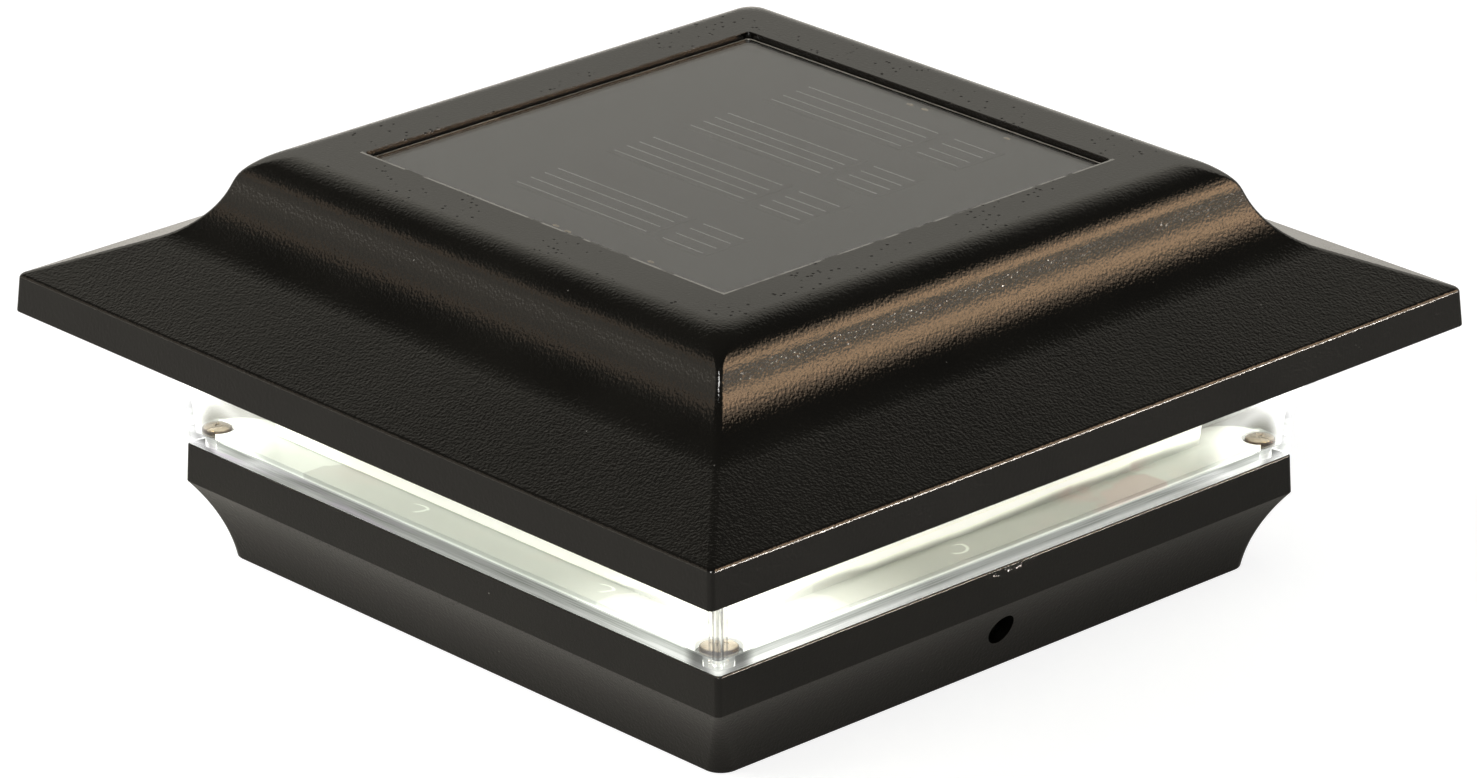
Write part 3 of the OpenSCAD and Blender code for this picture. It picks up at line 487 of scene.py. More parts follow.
def join(mesh, ring, above):
    """Faces between two rings of points. A ring may be a single point."""
    count = max(len(ring), len(above))
    for i in range(count):
        k = (i + 1) % count
        corners = [ring[i % len(ring)], ring[k % len(ring)], above[k % len(above)], above[i % len(above)]]
        corners = list(dict.fromkeys(corners))
        if len(corners) > 2:
            mesh.faces.new(corners)


def circle(mesh, where, radius, level, turns):
    """A ring of points about the local Z. The level may be a function of x and y."""
    ring = []
    for i in range(turns):
        x, y = radius * cos(2 * pi * i / turns), radius * sin(2 * pi * i / turns)
        ring.append(mesh.verts.new(where @ Vector((x, y, level(x, y) if callable(level) else level))))
    return ring


def add_tube(mesh, where, outer, inner, start, end, turns=48):
    """A tube along the local Z. Its ends may be functions of x and y."""
    profile = ((outer, start), (outer, end), (inner, end), (inner, start))
    rings = [circle(mesh, where, radius, level, turns) for radius, level in profile]
    for ring, above in zip(rings, rings[1:] + rings[:1]):
        join(mesh, ring, above)


def add_turned(mesh, where, profile, turns=48):
    """A turned solid about the local Z: [(radius, height)] from the axis to the axis."""
    rings = [circle(mesh, where, radius, z, turns if radius else 1) for radius, z in profile]
    for ring, above in zip(rings, rings[1:]):
        join(mesh, ring, above)


def add_prism(mesh, outline, where, thickness):
    """An outline in the local XZ plane, given a thickness along the local Y."""
    sides = [
        [mesh.verts.new(where @ Vector((x, y, z))) for x, z in outline]
        for y in (-thickness / 2, thickness / 2)
    ]
    mesh.faces.new(sides[0])
    mesh.faces.new(sides[1][::-1])
    join(mesh, *sides)


def at(x=0.0, y=0.0, z=0.0):
    return Matrix.Translation((x, y, z))


def corner_spots(half, z=0.0):
    """A place near each corner, so far from the middle along both axes."""
    return [at(x * half, y * half, z) for x, y in CORNERS]


def make_object(name, mesh, material):
    bmesh.ops.recalc_face_normals(mesh, faces=mesh.faces)
    data = bpy.data.meshes.new(name)
    mesh.to_mesh(data)
    mesh.free()
    data.shade_smooth()
    data.set_sharp_from_angle(angle=SHARP)
    piece = bpy.data.objects.new(name, data)
    bpy.context.scene.collection.objects.link(piece)
    data.materials.append(material)
    return piece


def cut(piece, cutter):
    """Takes a cutter's shape out of a piece."""
    step = piece.modifiers.new("cut", "BOOLEAN")
    step.operation = "DIFFERENCE"
    step.solver = "EXACT"
    step.object = cutter
    result = bpy.data.meshes.new_from_object(piece.evaluated_get(bpy.context.evaluated_depsgraph_get()))
    if not result.polygons:
        raise RuntimeError(f"Nothing of {piece.name} is left after the cut")
    piece.modifiers.remove(step)
    piece.data = result
    bpy.data.objects.remove(cutter)


def drill(piece, spots, radius, start, end, turns=48):
    """Drills a round hole along the local Z of each spot."""
    mesh = bmesh.new()
    for spot in spots:
        add_turned(mesh, spot, [(0, start), (radius, start), (radius, end), (0, end)], turns)
    cut(piece, make_object("drill", mesh, piece.data.materials[0]))


def even_shading(piece):
    """Lets the large faces set the normals, so that flats stay flat beside their roundings."""
    step = piece.modifiers.new("even_shading", "WEIGHTED_NORMAL")
    step.keep_sharp = True
    step.weight = 100


def dress(piece, slot, *nodes):
    """Lets a piece ride on the light's body, in place of the packed solids that are named."""
    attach(piece, BODY)
    if nodes:
        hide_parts(*nodes)


def paint(nodes, name, make, *choices):
    """Gives the packed solids that are named, with spaces between, their material."""
    for node in nodes.split():
        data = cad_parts[node].data
        data.materials.clear()
        data.materials.append(material(name, make, *choices))


# Materials


class Value:
    """One output socket of a material. Arithmetic on it adds the Math nodes."""

    def __init__(self, recipe, socket):
        self.recipe = recipe
        self.socket = socket

    def math(self, operation, *values):
        return self.recipe.add("ShaderNodeMath", {"operation": operation}, dict(enumerate(values)))

    def __add__(self, other):
        return self.math("ADD", self, other)

    __radd__ = __add__

    def __sub__(self, other):
        return self.math("SUBTRACT", self, other)

    def __rsub__(self, other):
        return self.math("SUBTRACT", other, self)

    def __mul__(self, other):
        return self.math("MULTIPLY", self, other)

    __rmul__ = __mul__

    def __pow__(self, other):
        return self.math("POWER", self, other)

    def __abs__(self):
        return self.math("ABSOLUTE", self)

    def least(self, other):
        return self.math("MINIMUM", self, other)

    def most(self, other):
        return self.math("MAXIMUM", self, other)

    def ramp(self, start, end):
        """0 at start, 1 at end and smooth between. Start may be the larger one."""
        return self.recipe.add(
            "ShaderNodeMapRange",
            {"interpolation_type": "SMOOTHSTEP", "clamp": True},
            {"Value": self, "From Min": start, "From Max": end},
        )

    def between(self, start, end, fade):
        """1 between start and end and 0 outside them, with so wide a fade inside each."""
        return self.ramp(start, start + fade) * self.ramp(end, end - fade)


class Recipe:
    """The node tree of a material or of the world. Its lengths are in metres."""

    def __init__(self, owner):
        owner.use_nodes = True
        self.owner = owner
        self.tree = owner.node_tree
        self.tree.nodes.clear()

    def node(self, kind, choices=None, sockets=None):
        """Any node, from its type, its settings and the values or links of its sockets."""
        node = self.tree.nodes.new(kind)
        for name, choice in (choices or {}).items():
            setattr(node, name, choice)
        for name, value in (sockets or {}).items():
            if isinstance(value, Value):
                self.tree.links.new(value.socket, node.inputs[name])
            else:
                node.inputs[name].default_value = value
        return node

    def add(self, kind, choices=None, sockets=None, output=0):
        """One output of such a node."""
        return Value(self, self.node(kind, choices, sockets).outputs[output])

    def place(self):
        """Place on the object."""
        return self.add("ShaderNodeTexCoord", output="Object")

    def axes(self, vector):
        split = self.node("ShaderNodeSeparateXYZ", None, {0: vector})
        return [Value(self, split.outputs[i]) for i in range(3)]

    def vector(self, x, y, z):
        return self.add("ShaderNodeCombineXYZ", None, {0: x, 1: y, 2: z})

    def total(self, vector, other):
        return self.add("ShaderNodeVectorMath", {"operation": "ADD"}, {0: vector, 1: other})

    def scaled(self, vector, factor):
        return self.add("ShaderNodeVectorMath", {"operation": "SCALE"}, {0: vector, "Scale": factor})

    def noise(self, where, size, detail=2.0, roughness=0.5):
        """Noise whose lumps are about so large."""
        sockets = {"Vector": where, "Scale": 1 / size, "Detail": detail, "Roughness": roughness}
        return self.add("ShaderNodeTexNoise", None, sockets)

    def spots(self, where, spacing, radius):
        """Scattered round spots: 1 in the middle of a spot, 0 outside."""
        far = self.add("ShaderNodeTexVoronoi", {"feature": "F1"}, {"Vector": where, "Scale": 1 / spacing})
        return far.ramp(radius / spacing, 0.3 * radius / spacing)

    def mix(self, factor, start, end):
        """A blend of two colours."""
        sockets = {0: factor, 6: solid(start), 7: solid(end)}
        return self.add("ShaderNodeMix", {"data_type": "RGBA"}, sockets, output=2)

    def bump(self, height, depth):
        """A bump whose full height is so deep."""
        return self.add("ShaderNodeBump", None, {"Height": height, "Distance": depth, "Strength": 1.0})

    def surface(self, sockets):
        return self.finish(self.add("ShaderNodeBsdfPrincipled", None, sockets))

    def finish(self, shader):
        self.node("ShaderNodeOutputMaterial", None, {"Surface": shader})
        return self.owner


def solid(value):
    """A colour as four numbers, or the link itself."""
    return value if isinstance(value, Value) else (*value[:3], 1.0)


def shade(value, factor):
    return tuple(c * factor for c in value)


def material(name, make, *choices):
    """The finish of that name, made when it is first asked for."""
    name += "_finish"
    made = bpy.data.materials.get(name)
    return made or make(Recipe(bpy.data.materials.new(name)), *choices)


def far(x, y):
    """How far a point is from the origin."""
    return (x**2.0 + y**2.0) ** 0.5


def right_part(x, y):
    """0 left of the middle in the photograph's view, 1 right of it."""
    return (x + y).ramp(-20 * MM, 20 * MM)


def coat(r):
    """Black powder coat with orange peel, dusty nibs and slight clouds. The flat rim has pits, painted
    darker inside as painted shade, a rougher front corner and a painted highlight along the recess's two
    front edges, and the base's edge has chips."""
    look = settings("finish")
    recess = settings("cap").recess_half
    where = r.place()
    x, y, z = r.axes(where)
    cloud = r.noise(where, 26 * MM, 3.0)
    peel = r.noise(where, look.peel_size, 1.5)
    swell = r.noise(where, 4.5 * look.peel_size, 1.0)
    nibs = r.spots(where, 7 * MM, 0.24 * MM) * r.noise(where, 14 * MM).ramp(0.46, 0.58)
    rim = z.ramp(TOP_Z - 0.4 * MM, TOP_Z - 0.1 * MM)
    front = (x - y).ramp(70 * MM, 130 * MM) * rim
    pits = r.spots(where, 1.9 * MM, 0.42 * MM) * r.noise(where, 17 * MM).ramp(0.5, 0.58) * rim
    # A pale line just outside the recess, on its two front edges only: painted highlight, in the specks'
    # colour
    past_front = x.most(y * -1.0) - recess
    past_any = abs(x).most(abs(y)) - recess
    painted_edge_highlight = past_front.ramp(-0.1 * MM, 0.0) * past_any.ramp(0.7 * MM, 0.5 * MM)
    painted_edge_highlight = painted_edge_highlight * r.noise(where, 6 * MM).ramp(0.3, 0.5) * rim
    edge = x.ramp(70 * MM, 74 * MM) * z.ramp(BASE_Z - 1.7 * MM, BASE_Z - 0.9 * MM) * z.ramp(40 * MM, 30 * MM)
    chips = edge * y.between(-9 * MM, 6 * MM, 3 * MM) * r.noise(where, 1.1 * MM).ramp(0.5, 0.58)
    base = r.mix(cloud.ramp(0.3, 0.7), shade(look.coat, 0.85), shade(look.coat, 1.2))
    # The pits take a darker copy of the coat's colour: painted shade in them
    dust_and_highlight, dark = look.dust_and_highlight, shade(look.coat, 0.3)
    for mark, cover, tone in ((nibs, 0.9, dust_and_highlight), (pits, 0.9, dark), (painted_edge_highlight, 0.9, dust_and_highlight), (chips, 0.08, dust_and_highlight)):
        base = r.mix(mark * cover, base, tone)
    height = peel + swell * 0.1 + nibs * 0.6 - pits * 2.4 - chips * 2.0
    return r.surface({
        "Base Color": base,
        "Roughness": look.coat_roughness + (cloud - 0.5) * 0.08 + front * 0.16 + pits * 0.6,
        "IOR": 1.5,
        "Normal": r.bump(height, look.peel_depth),
    })


def corner_light(x, y):
    """Mask of the painted light round a corner lamp: 1 near it in plan, fading to 0 at its reach. The front
    corner's lamp reaches further.
    """
    glow = settings("glow")
    lamp = high("led_lamps").x - glow.lamp_radius
    away = far(abs(x) - lamp, abs(y) - lamp)
    front = (x - y).ramp(40 * MM, 80 * MM) * (right_part(x, y) * 0.35 + 1)
    reach = front * (glow.front_reach - glow.reach) + glow.reach
    return away.ramp(reach, reach * 0.25)


def clear_lens(r):
    """Clear lens with faint flow marks, a solid post at its corners, a painted glow on its wall near the
    corners and painted glow lines in its foot. The foot's glow is dimmer round the corner screws, and the
    corner glow is left out beside them."""
    look, glow = settings("finish"), settings("glow")
    screw = settings("lens").screw_half
    where = r.place()
    x, y, z = r.axes(where)
    along = abs(x).least(abs(y))
    corner = abs(abs(x) - abs(y))
    front = (x - y).ramp(100 * MM, 130 * MM)
    right = right_part(x, y)
    # Painted glow lines in the foot, stronger on the right, and dimmer round the corner screws as painted
    # shade
    foot_top = BASE_Z + glow.foot_height
    foot = z.ramp(foot_top + 0.3 * MM, foot_top) * z.ramp(BASE_Z, BASE_Z + 0.1 * MM)
    foot = foot * (1 - far(abs(x) - screw, abs(y) - screw).ramp(7 * MM, 5 * MM) * 0.8)
    streak = r.noise(r.vector(along * 0.02, 0.0, z), 0.5 * MM, 2.0, 0.6).ramp(0.4, 0.58)
    stripe = z.ramp(BASE_Z + 1.7 * MM, BASE_Z + 1.2 * MM) * (right * 0.3 + 0.3) + streak * 0.3 + right * 0.15
    violet = r.noise(r.vector(along, 0.0, z * 8.0), 14 * MM).ramp(0.4, 0.6)
    violet = violet * (x + y).ramp(-50 * MM, -100 * MM)
    light = r.mix(stripe, shade(glow.cool, 0.4), r.mix(violet, glow.line, glow.violet))
    light = r.scaled(light, foot * (corner_light(x, y) * 0.9 + 0.8) * glow.foot)
    # Painted glow on the wall near the corners, mostly left out at the foot, the front corner and a spot
    # beside each screw
    spot = far(along - CLEAR_SPOT[0] * MM, z - CLEAR_SPOT[1] * MM).ramp(9 * MM, 4 * MM)
    painted_corner_glow = corner.ramp(26 * MM, 6 * MM) * (1 - foot) * (1 - front * 0.8) * (1 - spot) * glow.painted_corner_glow
    # The solid post along each corner is tinted darker, most at the front corner: painted shade
    post = corner.between(0.9 * MM, 1.7 * MM, 0.2 * MM).most(corner.ramp(0.45 * MM, 0.3 * MM) * 0.9)
    return r.surface({
        "Base Color": r.mix(post * (front * 0.5 + 0.3), look.lens, glow.post),
        "Roughness": r.noise(where, 22 * MM, 1.0) * 0.03 + 0.01,
        "IOR": 1.49,
        "Transmission Weight": 1.0,
        "Emission Color": r.total(light, r.scaled(WHITE, painted_corner_glow)),
        "Emission Strength": 1.0,
        "Normal": r.bump(r.noise(where, 9 * MM), 0.02 * MM),
    })


def ring_mark(x, y, spot):
    """An open ring where a drop has dried."""
    radius = 2.4 * MM
    away_x, away_y = x - spot[0] * MM, y - spot[1] * MM
    ring = abs(far(away_x, away_y) - radius).ramp(0.5 * MM, 0.15 * MM)
    return ring * (away_x + away_y).ramp(-1.5 * MM, 0.5 * MM)


def reflector(r):
    """White moulding whose light from the corner lamps above is painted glow: pools near the lamps, brighter
    ends of each side, a lighter left part of the floor, and a bright wall with a wavy edge to its floor.
    Near a lamp the floor is painted in the wall's lighter colour. Smudges dim the glow, and dried drops on
    the floor are painted brighter."""
    glow = settings("glow")
    where = r.place()
    x, y, z = r.axes(where)
    lit = corner_light(x, y)
    left = (x + y).ramp(0.0, -40 * MM)
    right = 1 - left
    along = abs(x).least(abs(y))
    smudge = r.noise(where, 12 * MM, 3.0)
    wave = (r.noise(where, 24 * MM, 1.0) - 0.4) * right * 6 * MM
    wall = (z - LENS_FLOOR_Z - wave).ramp(1.5 * MM, 2.0 * MM + right * 2.5 * MM)
    floor = 1 - wall
    patch = y.between(20 * MM, 52 * MM, 8 * MM) * r.noise(where, 8 * MM).ramp(0.38, 0.54)
    dirt = (smudge.ramp(0.5, 0.75) * 0.3).most(patch * 0.9) * (1 - lit) * floor
    marks = ring_mark(x, y, DRIED_DROPS[0])
    for spot in DRIED_DROPS[1:]:
        marks = marks.most(ring_mark(x, y, spot))
    # Painted glow: pools round the lamps, brighter ends of each side, a bright wall, a lighter left part of
    # the floor, the dried drops painted brighter, and the smudges dimmer
    ends = along.ramp(38 * MM, 52 * MM)
    pool = along.ramp(glow.pool - 0.4 * MM, glow.pool + 0.4 * MM) * floor
    tone = r.mix(lit, glow.cool, glow.near)
    tone = r.mix(dirt, r.mix(wall, tone, glow.warm), glow.dull)
    level = glow.middle + lit * glow.corner + wall * (ends * (left * 0.3 + 0.2) + glow.wall)
    level = level + pool * (left * 0.5 + 0.5) * glow.end
    level = level + left * floor * 0.18 + marks * 0.35 + (smudge - 0.5) * 0.08 - patch * floor * 0.08
    # Near a lamp or on the wall, the floor takes the wall's lighter colour: painted light
    base = r.mix(wall.most(lit), glow.floor, glow.plastic)
    return r.surface({
        "Base Color": r.mix(dirt, base, glow.dull),
        "Roughness": smudge * 0.1 + 0.25,
        "Emission Color": r.scaled(tone, level),
        "Emission Strength": 1.0,
        "Normal": r.bump(r.noise(where, 3 * MM), 0.02 * MM),
    })


def lamp_dome(r):
    """Clear dome of a warm white lamp, brightest at its tip."""
    glow = settings("glow")
    where = r.place()
    tip = r.axes(where)[2].ramp(LAMP_Z - 1 * MM, LAMP_Z - 3 * MM)
    tone = r.mix(tip, glow.phosphor, glow.warm)
    return r.surface({
        "Base Color": tone,
        "Roughness": r.noise(where, 1 * MM) * 0.1 + 0.1,
        "Emission Color": tone,
        "Emission Strength": glow.lamp,
    })


def moulded(r, base, roughness, grain=0.01 * MM, size=0.5 * MM):
    """Moulded plastic or rubber with a fine grain and slight flow marks."""
    where = r.place()
    flow = r.noise(where, 18 * MM)
    fine = r.noise(where, size)
    return r.surface({
        "Base Color": r.mix(flow.ramp(0.3, 0.7), shade(base, 0.93), shade(base, 1.05)),
        "Roughness": roughness + (fine - 0.5) * 0.15 + (flow - 0.5) * 0.1,
        "Normal": r.bump(fine, grain),
    })


def plated(r, base, roughness):
    """Plated metal with faint turning marks and dull patches."""
    where = r.place()
    patch = r.noise(where, 2.5 * MM, 3.0)
    return r.surface({
        "Base Color": r.mix(patch, shade(base, 0.8), shade(base, 1.1)),
        "Metallic": 1.0,
        "Roughness": roughness + (patch - 0.5) * 0.2,
        "Normal": r.bump(r.noise(where, 0.25 * MM), 0.006 * MM),
    })


def nickel(r):
    """Nickel plate over brown, with painted light: highlights on the crown, a fainter one round the head's
    side and patches on the thread, and painted shade under the head's edge and on the rest of the thread.
    """
    look = settings("finish")
    where = r.place()
    z = r.axes(where)[2] - LENS_FLOOR_Z
    patch = r.noise(where, 0.9 * MM, 3.0)
    # Painted light by height: the crown and a band round the head's side lighter, the thread lighter in
    # patches, the rest in the darker copy as painted shade
    bright = z.ramp(1.3 * MM, 1.6 * MM).most(z.between(0.3 * MM, 0.75 * MM, 0.15 * MM) * 0.6)
    bright = bright.most(z.ramp(-0.3 * MM, -0.9 * MM) * patch.ramp(0.4, 0.6) * 0.7)
    return r.surface({
        "Base Color": r.mix(bright * (patch * 0.6 + 0.6), look.shaded_bronze, look.nickel),
        "Metallic": 1.0,
        "Roughness": patch * 0.15 + 0.12,
        "Normal": r.bump(patch, 0.01 * MM),
    })


def panel_board(r):
    """Dark board under the panel's cells, with faint clouds in it."""
    look = settings("finish")
    cloud = r.noise(r.place(), 22 * MM, 4.0, 0.6)
    return r.surface({
        "Base Color": r.mix(cloud.ramp(0.35, 0.7), shade(look.board, 0.8), shade(look.board, 1.3)),
        "Roughness": cloud * 0.1 + 0.35,
        "Specular IOR Level": 0.05,
    })


def cell(r):
    """Dark solar cell with a faint grain of crystals."""
    look = settings("finish")
    sockets = {"Vector": r.place(), "Scale": 1 / (1.6 * MM)}
    grain = r.axes(r.add("ShaderNodeTexVoronoi", {"feature": "F1"}, sockets, output="Color"))[0]
    return r.surface({
        "Base Color": r.mix(grain, shade(look.cell, 0.9), shade(look.cell, 1.15)),
        "Roughness": grain * 0.1 + 0.3,
        "Specular IOR Level": 0.05,
    })


def laminate(r):
    """Clear laminate over the cells, with handling smudges."""
    look = settings("finish")
    where = r.place()
    smear = r.noise(where, 16 * MM, 4.0, 0.6)
    return r.surface({
        "Base Color": r.mix(smear, shade(look.laminate, 0.97), look.laminate),
        "Roughness": 0.02 + smear.ramp(0.45, 0.75) * 0.05,
        "IOR": 1.5,
        "Transmission Weight": 1.0,
        "Normal": r.bump(r.noise(where, 1.2 * MM), 0.0015 * MM),
    })


def printed(r, base, roughness=0.4):
    """Printed silver or solder, a little uneven."""
    patch = r.noise(r.place(), 1.5 * MM, 3.0)
    return r.surface({
        "Base Color": r.mix(patch.ramp(0.3, 0.7), shade(base, 0.75), base),
        "Roughness": patch * 0.2 + roughness - 0.1,
    })


def circuit(r):
    """Green solder mask with copper tracks under it."""
    look = settings("finish")
    where = r.place()
    tracks = r.add("ShaderNodeTexBrick", {"offset": 0.35}, {
        "Vector": where,
        "Color1": solid(look.mask),
        "Color2": solid(look.dark_mask),
        "Mortar": solid(look.track),
        "Scale": 1 / (4 * MM),
        "Mortar Size": 0.05,
    })
    return r.surface({"Base Color": tracks, "Roughness": r.noise(where, 4 * MM) * 0.15 + 0.25})


# Pieces


def cap_sections():
    """The cap's closed half section: outside, recess, tub, inside and skirt."""
    s = settings("cap")
    arris_z = EAVE_Z + s.eave_height
    ridge_end = TOP_Z - s.shoulder_radius / 2

    def ridge(z):
        return eased(s.ridge_corner, s.top_corner, (z - ridge_end) / (TOP_Z - ridge_end))

    outline = [
        (EAVE_HALF, EAVE_Z, 0.0),
        (EAVE_HALF - s.eave_draft, arris_z, s.arris),
        (s.cove_half, arris_z + s.cove_rise, s.cove_radius),
        (s.shoulder_half, TOP_Z, s.shoulder_radius),
        (s.recess_half, TOP_Z, 0.0),
    ]
    inner = inset(outline, s.wall)
    skirt_half = EAVE_HALF - s.skirt_wall
    step_half = skirt_half - s.step
    step_z = CEILING_Z + s.ceiling
    window = s.recess_half - s.shelf
    tub_z = SEAL_Z - s.wall
    tub_half = s.recess_half + s.wall
    within = (s.inner_edge, s.inner_corner)
    return [
        (EAVE_HALF, EAVE_Z, s.edge, s.ridge_corner),
        *[(*point, ridge) for point in outline[1:4]],
        (s.recess_half, TOP_Z, s.recess_edge, s.recess_corner),
        (s.recess_half, SEAL_Z, s.inner_edge, s.recess_corner),
        (window, SEAL_Z, *within),
        (window, tub_z, *within),
        (tub_half, tub_z, *within),
        (tub_half, inner[3][1], *within),
        (*inner[3], s.inner_corner),
        (*inner[2], s.inner_corner),
        (step_half, at_half(inner[1], inner[2], step_half), *within),
        (step_half, step_z, *within),
        (skirt_half, step_z, s.inner_edge, s.recess_corner),
        (skirt_half, EAVE_Z, s.edge, s.recess_corner),
    ]


class CAPLIGHT_OT_cap(bpy.types.Operator):
    """Builds the cast cap with its mitred ridges, cove, shoulder, panel recess and screw bosses"""

    bl_idname = "cap_light.cap"
    bl_label = "Cap"

    def execute(self, context):
        s = settings("cap")
        mesh = square_loft(drawn(cap_sections(), steps=14), steps=10)
        foot = high("electronics_housing").z
        head = SEAL_Z - s.wall + s.inner_edge
        hole = settings("lens").screw_hole
        boss = [(0, foot + s.boss_hole), (hole, foot + s.boss_hole), (hole, foot)]
        boss += [(s.boss_radius, foot), (s.boss_radius, head), (0, head)]
        tower = high("cap_screws").x - settings("screw").head_radius
        for spot in corner_spots(tower):
            add_turned(mesh, spot, boss)
        piece = make_object("cap_shell", mesh, material("black_coat", coat))
        even_shading(piece)
        dress(piece, "black_coat", "cap_casting")
        return {"FINISHED"}


def base_cove(wall, steps=20):
    """The cove from the foot to the band, or its inner face when a wall is given."""
    s = settings("base")
    foot, band = (s.foot_half, 0.0), (BAND_HALF, s.cove_height)
    along = unit(band[0] - foot[0], band[1] - foot[1])
    half_chord = hypot(band[0] - foot[0], band[1] - foot[1]) / 2
    away = (s.cove_radius**2 - half_chord**2) ** 0.5
    centre = ((foot[0] + band[0]) / 2 + away * along[1], (foot[1] + band[1]) / 2 - away * along[0])
    return arc(centre, s.cove_radius + wall, foot, band, steps)


def base_sections():
    """The base's closed half section: cove, band, seat, post stop and the hollow's wall."""
    s = settings("base")

    def corner(z):
        return s.foot_corner + (s.band_corner - s.foot_corner) * min(1.0, z / s.cove_height)

    outside = [(*point, 0.0, corner) for point in base_cove(0.0)]
    inside = [(*point, 0.0, corner) for point in base_cove(s.wall)]
    outside[0] = (*outside[0][:2], s.inner_edge, corner)
    outside[-1] = (*outside[-1][:2], s.inner_edge, corner)
    inside[0] = (inside[0][0], 0.0, s.inner_edge, corner)
    top_half = BAND_HALF - s.band_draft
    stop_z = FLOOR_Z - s.stop_thickness
    within = (s.inner_edge, s.ledge_corner)
    return [
        *outside,
        (top_half, BASE_Z, s.edge, corner),
        (s.ledge_half, BASE_Z, *within),
        (s.ledge_half, FLOOR_Z, *within),
        (s.stop_half, FLOOR_Z, *within),
        (s.stop_half, stop_z, *within),
        (top_half - s.wall, stop_z, 1.5 * s.inner_edge, corner),
        *inside[::-1],
    ]


def inner_wall_at(z):
    """Half width of the base's inner face at a height."""
    points = base_cove(settings("base").wall)
    for start, end in zip(points, points[1:]):
        if start[1] <= z <= end[1]:
            return at_height(start, end, z)
    return points[-1][0] if z > points[-1][1] else points[0][0]


class CAPLIGHT_OT_base(bpy.types.Operator):
    """Builds the cast base ring with its guide ribs, screw bosses and side holes"""

    bl_idname = "cap_light.base"
    bl_label = "Base"

    def execute(self, context):
        s, lens = settings("base"), settings("lens")
        mesh = square_loft(drawn(base_sections(), steps=5), steps=10)
        piece = make_object("base_ring", mesh, material("black_coat", coat))
        sides = [
            Matrix.Rotation(turn, 4, "Z") @ at(z=s.hole_z) @ Matrix.Rotation(pi / 2, 4, "Y")
            for turn in (0, pi)
        ]
        turns = 64
        drill(piece, sides, s.hole_radius, s.stop_half, BAND_HALF + s.bite, turns)
        mesh = bmesh.new()
        mesh.from_mesh(piece.data)
        stop_z = FLOOR_Z - s.stop_thickness
        steps = 8
        levels = [stop_z * i / steps for i in range(steps + 1)]
        rib = [(s.post_half, 0.0), *[(inner_wall_at(z) + s.bite, z) for z in levels]]
        rib += [(s.post_half, stop_z + s.bite)]
        for quarter in range(4):
            turn = Matrix.Rotation(quarter * pi / 2, 4, "Z")
            for offset in (-s.rib_offset, s.rib_offset):
                add_prism(mesh, rib, turn @ at(y=offset), s.rib_thickness)
        for side in sides:
            add_tube(
                mesh, side, s.boss_radius, s.hole_radius, s.post_half,
                lambda x, y: inner_wall_at(s.hole_z - x) + s.bite, turns,
            )
        for spot in corner_spots(lens.screw_half):
            add_tube(mesh, spot, s.screw_boss_radius, lens.screw_hole, s.screw_boss_z, BASE_Z - s.bite)
        mesh.to_mesh(piece.data)
        mesh.free()
        piece.data.set_sharp_from_angle(angle=SHARP)
        even_shading(piece)
        dress(piece, "black_coat", "base_casting")
        return {"FINISHED"}


def lens_sections():
    """The lens's closed half section: foot, knee, flare, rim and the inside."""
    s = settings("lens")
    rim_z = RIM_TOP_Z - s.rim_thickness
    outline = [
        (s.foot_half, BASE_Z, 0.0),
        (s.foot_half + s.knee_out, BASE_Z + s.knee_rise, s.knee_radius),
        (s.flare_half, rim_z, 0.0),
    ]
    bowl = inset(outline, s.wall)
    return [
        (s.foot_half, BASE_Z, s.edge, s.corner),
        (*outline[1], s.corner),
        (s.flare_half, rim_z, s.edge, s.corner),
        (RIM_HALF, rim_z, s.edge, s.inner_corner),
        (RIM_HALF, RIM_TOP_Z, s.edge, s.inner_corner),
        (at_height(bowl[1], bowl[2], RIM_TOP_Z), RIM_TOP_Z, s.edge, s.inner_corner),
        (*bowl[1], s.inner_corner),
        (at_height(bowl[0], bowl[1], LENS_FLOOR_Z), LENS_FLOOR_Z, s.fillet, s.inner_corner),
        (s.floor_half, LENS_FLOOR_Z, s.edge, s.floor_corner),
        (s.floor_half, BASE_Z, s.edge, s.floor_corner),
    ]


class CAPLIGHT_OT_lens(bpy.types.Operator):
    """Builds the clear lens: foot flange, knee, flare and rim"""

    bl_idname = "cap_light.lens"
    bl_label = "Lens"

    def execute(self, context):
        s = settings("lens")
        mesh = square_loft(drawn(lens_sections(), steps=10))
        piece = make_object("lens_bowl", mesh, material("clear_lens", clear_lens))
        drill(piece, corner_spots(s.screw_half), s.screw_hole, BASE_Z - s.fillet, LENS_FLOOR_Z + s.fillet)
        even_shading(piece)
        dress(piece, "clear_lens", "lens_tray")
        return {"FINISHED"}


def screw_profile(s):
    """Head and thread of a pan-head screw, from the crown down to the tip."""
    skirt = s.head_height - s.crown
    steps = 8
    angles = [pi / 2 * i / steps for i in range(steps + 1)]
    dome = [(s.head_radius * sin(a), skirt + s.crown * cos(a)) for a in angles]
    profile = [*dome, (s.head_radius, s.edge), (s.head_radius - s.edge, 0.0), (s.shaft_radius, 0.0)]
    root = s.shaft_radius - s.thread_depth
    for i in range(int(s.shaft_length / s.pitch) - 1):
        z = -s.pitch * (i + 0.5)
        profile += [(s.shaft_radius, z), (root, z - s.pitch / 2)]
    return [*profile, (root, -s.shaft_length), (0, -s.shaft_length)]


